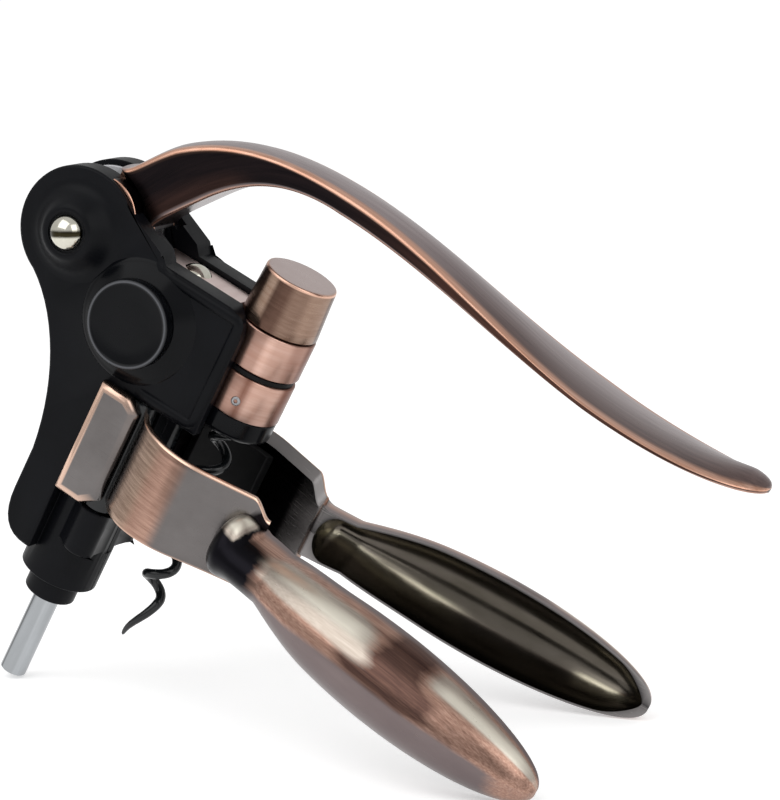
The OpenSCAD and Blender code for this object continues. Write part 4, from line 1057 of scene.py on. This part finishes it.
# %% Floor and surround
WORLD_LEVEL, FLOOR_LIFT, FLOOR_HALF, FLOOR_GAP = 0.7, 0.36, 12, 0.0005
pale = Finish("pale_floor", Roughness=0.9, Specular_IOR_Level=0.0)
pale.colour(pale.tones(3, "f6f6f6", "fafafa"))
path = pale.node("ShaderNodeLightPath").outputs
seen = path["Is Camera Ray"]
for ray in ("Is Glossy Ray", "Is Transmission Ray"):
    seen = pale.maths("MAXIMUM", seen, path[ray])
pale.feed(Emission_Color="ffffff", Emission_Strength=pale.maths("MULTIPLY", seen, FLOOR_LIFT))

corners = [(FLOOR_HALF * x, FLOOR_HALF * y, 0) for x, y in ((-1, -1), (1, -1), (1, 1), (-1, 1))]
sheet = bpy.data.meshes.new("floor")
sheet.from_pydata(corners, [], [(0, 1, 2, 3)])
sheet.materials.append(pale.material)
keep_numbers(sheet, [[c / MM for c in p] for p in corners], None)
floor = linked("floor", sheet)
floor.location.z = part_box("guide_rod")[0].z - FLOOR_GAP

world = bpy.data.worlds.new("even_surround")
scene.world = world
world.use_nodes = True
surround = world.node_tree.nodes["Background"]
surround.inputs["Color"].default_value = (1, 1, 1, 1)
surround.inputs["Strength"].default_value = WORLD_LEVEL
print("floor at", round(floor.location.z, 4))


# %% Lamps
def soft_lamp(name, spot, aim, size, watts):
    """A rectangular lamp at a spot that faces its aim."""
    lamp = bpy.data.lights.new(name, "AREA")
    lamp.shape = "RECTANGLE"
    lamp.size, lamp.size_y = size
    lamp.energy = watts
    made = linked(name, lamp)
    made.location = spot
    made.rotation_euler = (Vector(aim) - Vector(spot)).to_track_quat("-Z", "Y").to_euler()
    return made


middle = place((30, 0, -20))
soft_lamp("key_lamp", middle + Vector((-0.35, -0.75, 0.95)), middle, size=(1.2, 1.0), watts=5)
soft_lamp("fill_lamp", middle + Vector((0.9, -0.5, 0.6)), middle, size=(0.7, 1.0), watts=3)
print("lamps aim at", [round(c, 3) for c in middle])

# %% Camera
AZIMUTH, ELEVATION, ROLL = 23.57, 10.07, 1.40
TARGET, DISTANCE, LENS, LONG_SIDE = (34.32, 0, 1.75), 731.6, 134.68, 36.0
az, el, roll = (radians(angle) for angle in (AZIMUTH, ELEVATION, ROLL))
back = Vector((sin(az) * cos(el), -cos(az) * cos(el), sin(el)))
level_right = Vector((cos(az), sin(az), 0))
level_up = back.cross(level_right)
right = cos(roll) * level_right + sin(roll) * level_up
stand = Matrix((right, back.cross(right), back)).transposed().to_4x4()
stand.translation = place(TARGET) + DISTANCE * MM * back
lens = bpy.data.cameras.new("camera")
lens.lens, lens.sensor_width = LENS, LONG_SIDE
lens.clip_start, lens.clip_end = 0.01, 100
camera = linked("camera", lens)
camera.matrix_world = stand
scene.camera = camera
scene.view_settings.view_transform = "Standard"
print("camera at", [round(c, 3) for c in camera.location])

# %% [markdown]
# ## Size and finish
# The dressed model has to stay within the box of the solids; the last cell brings the view layer up to date.

# %% Sizes and the end
bpy.context.view_layer.update()
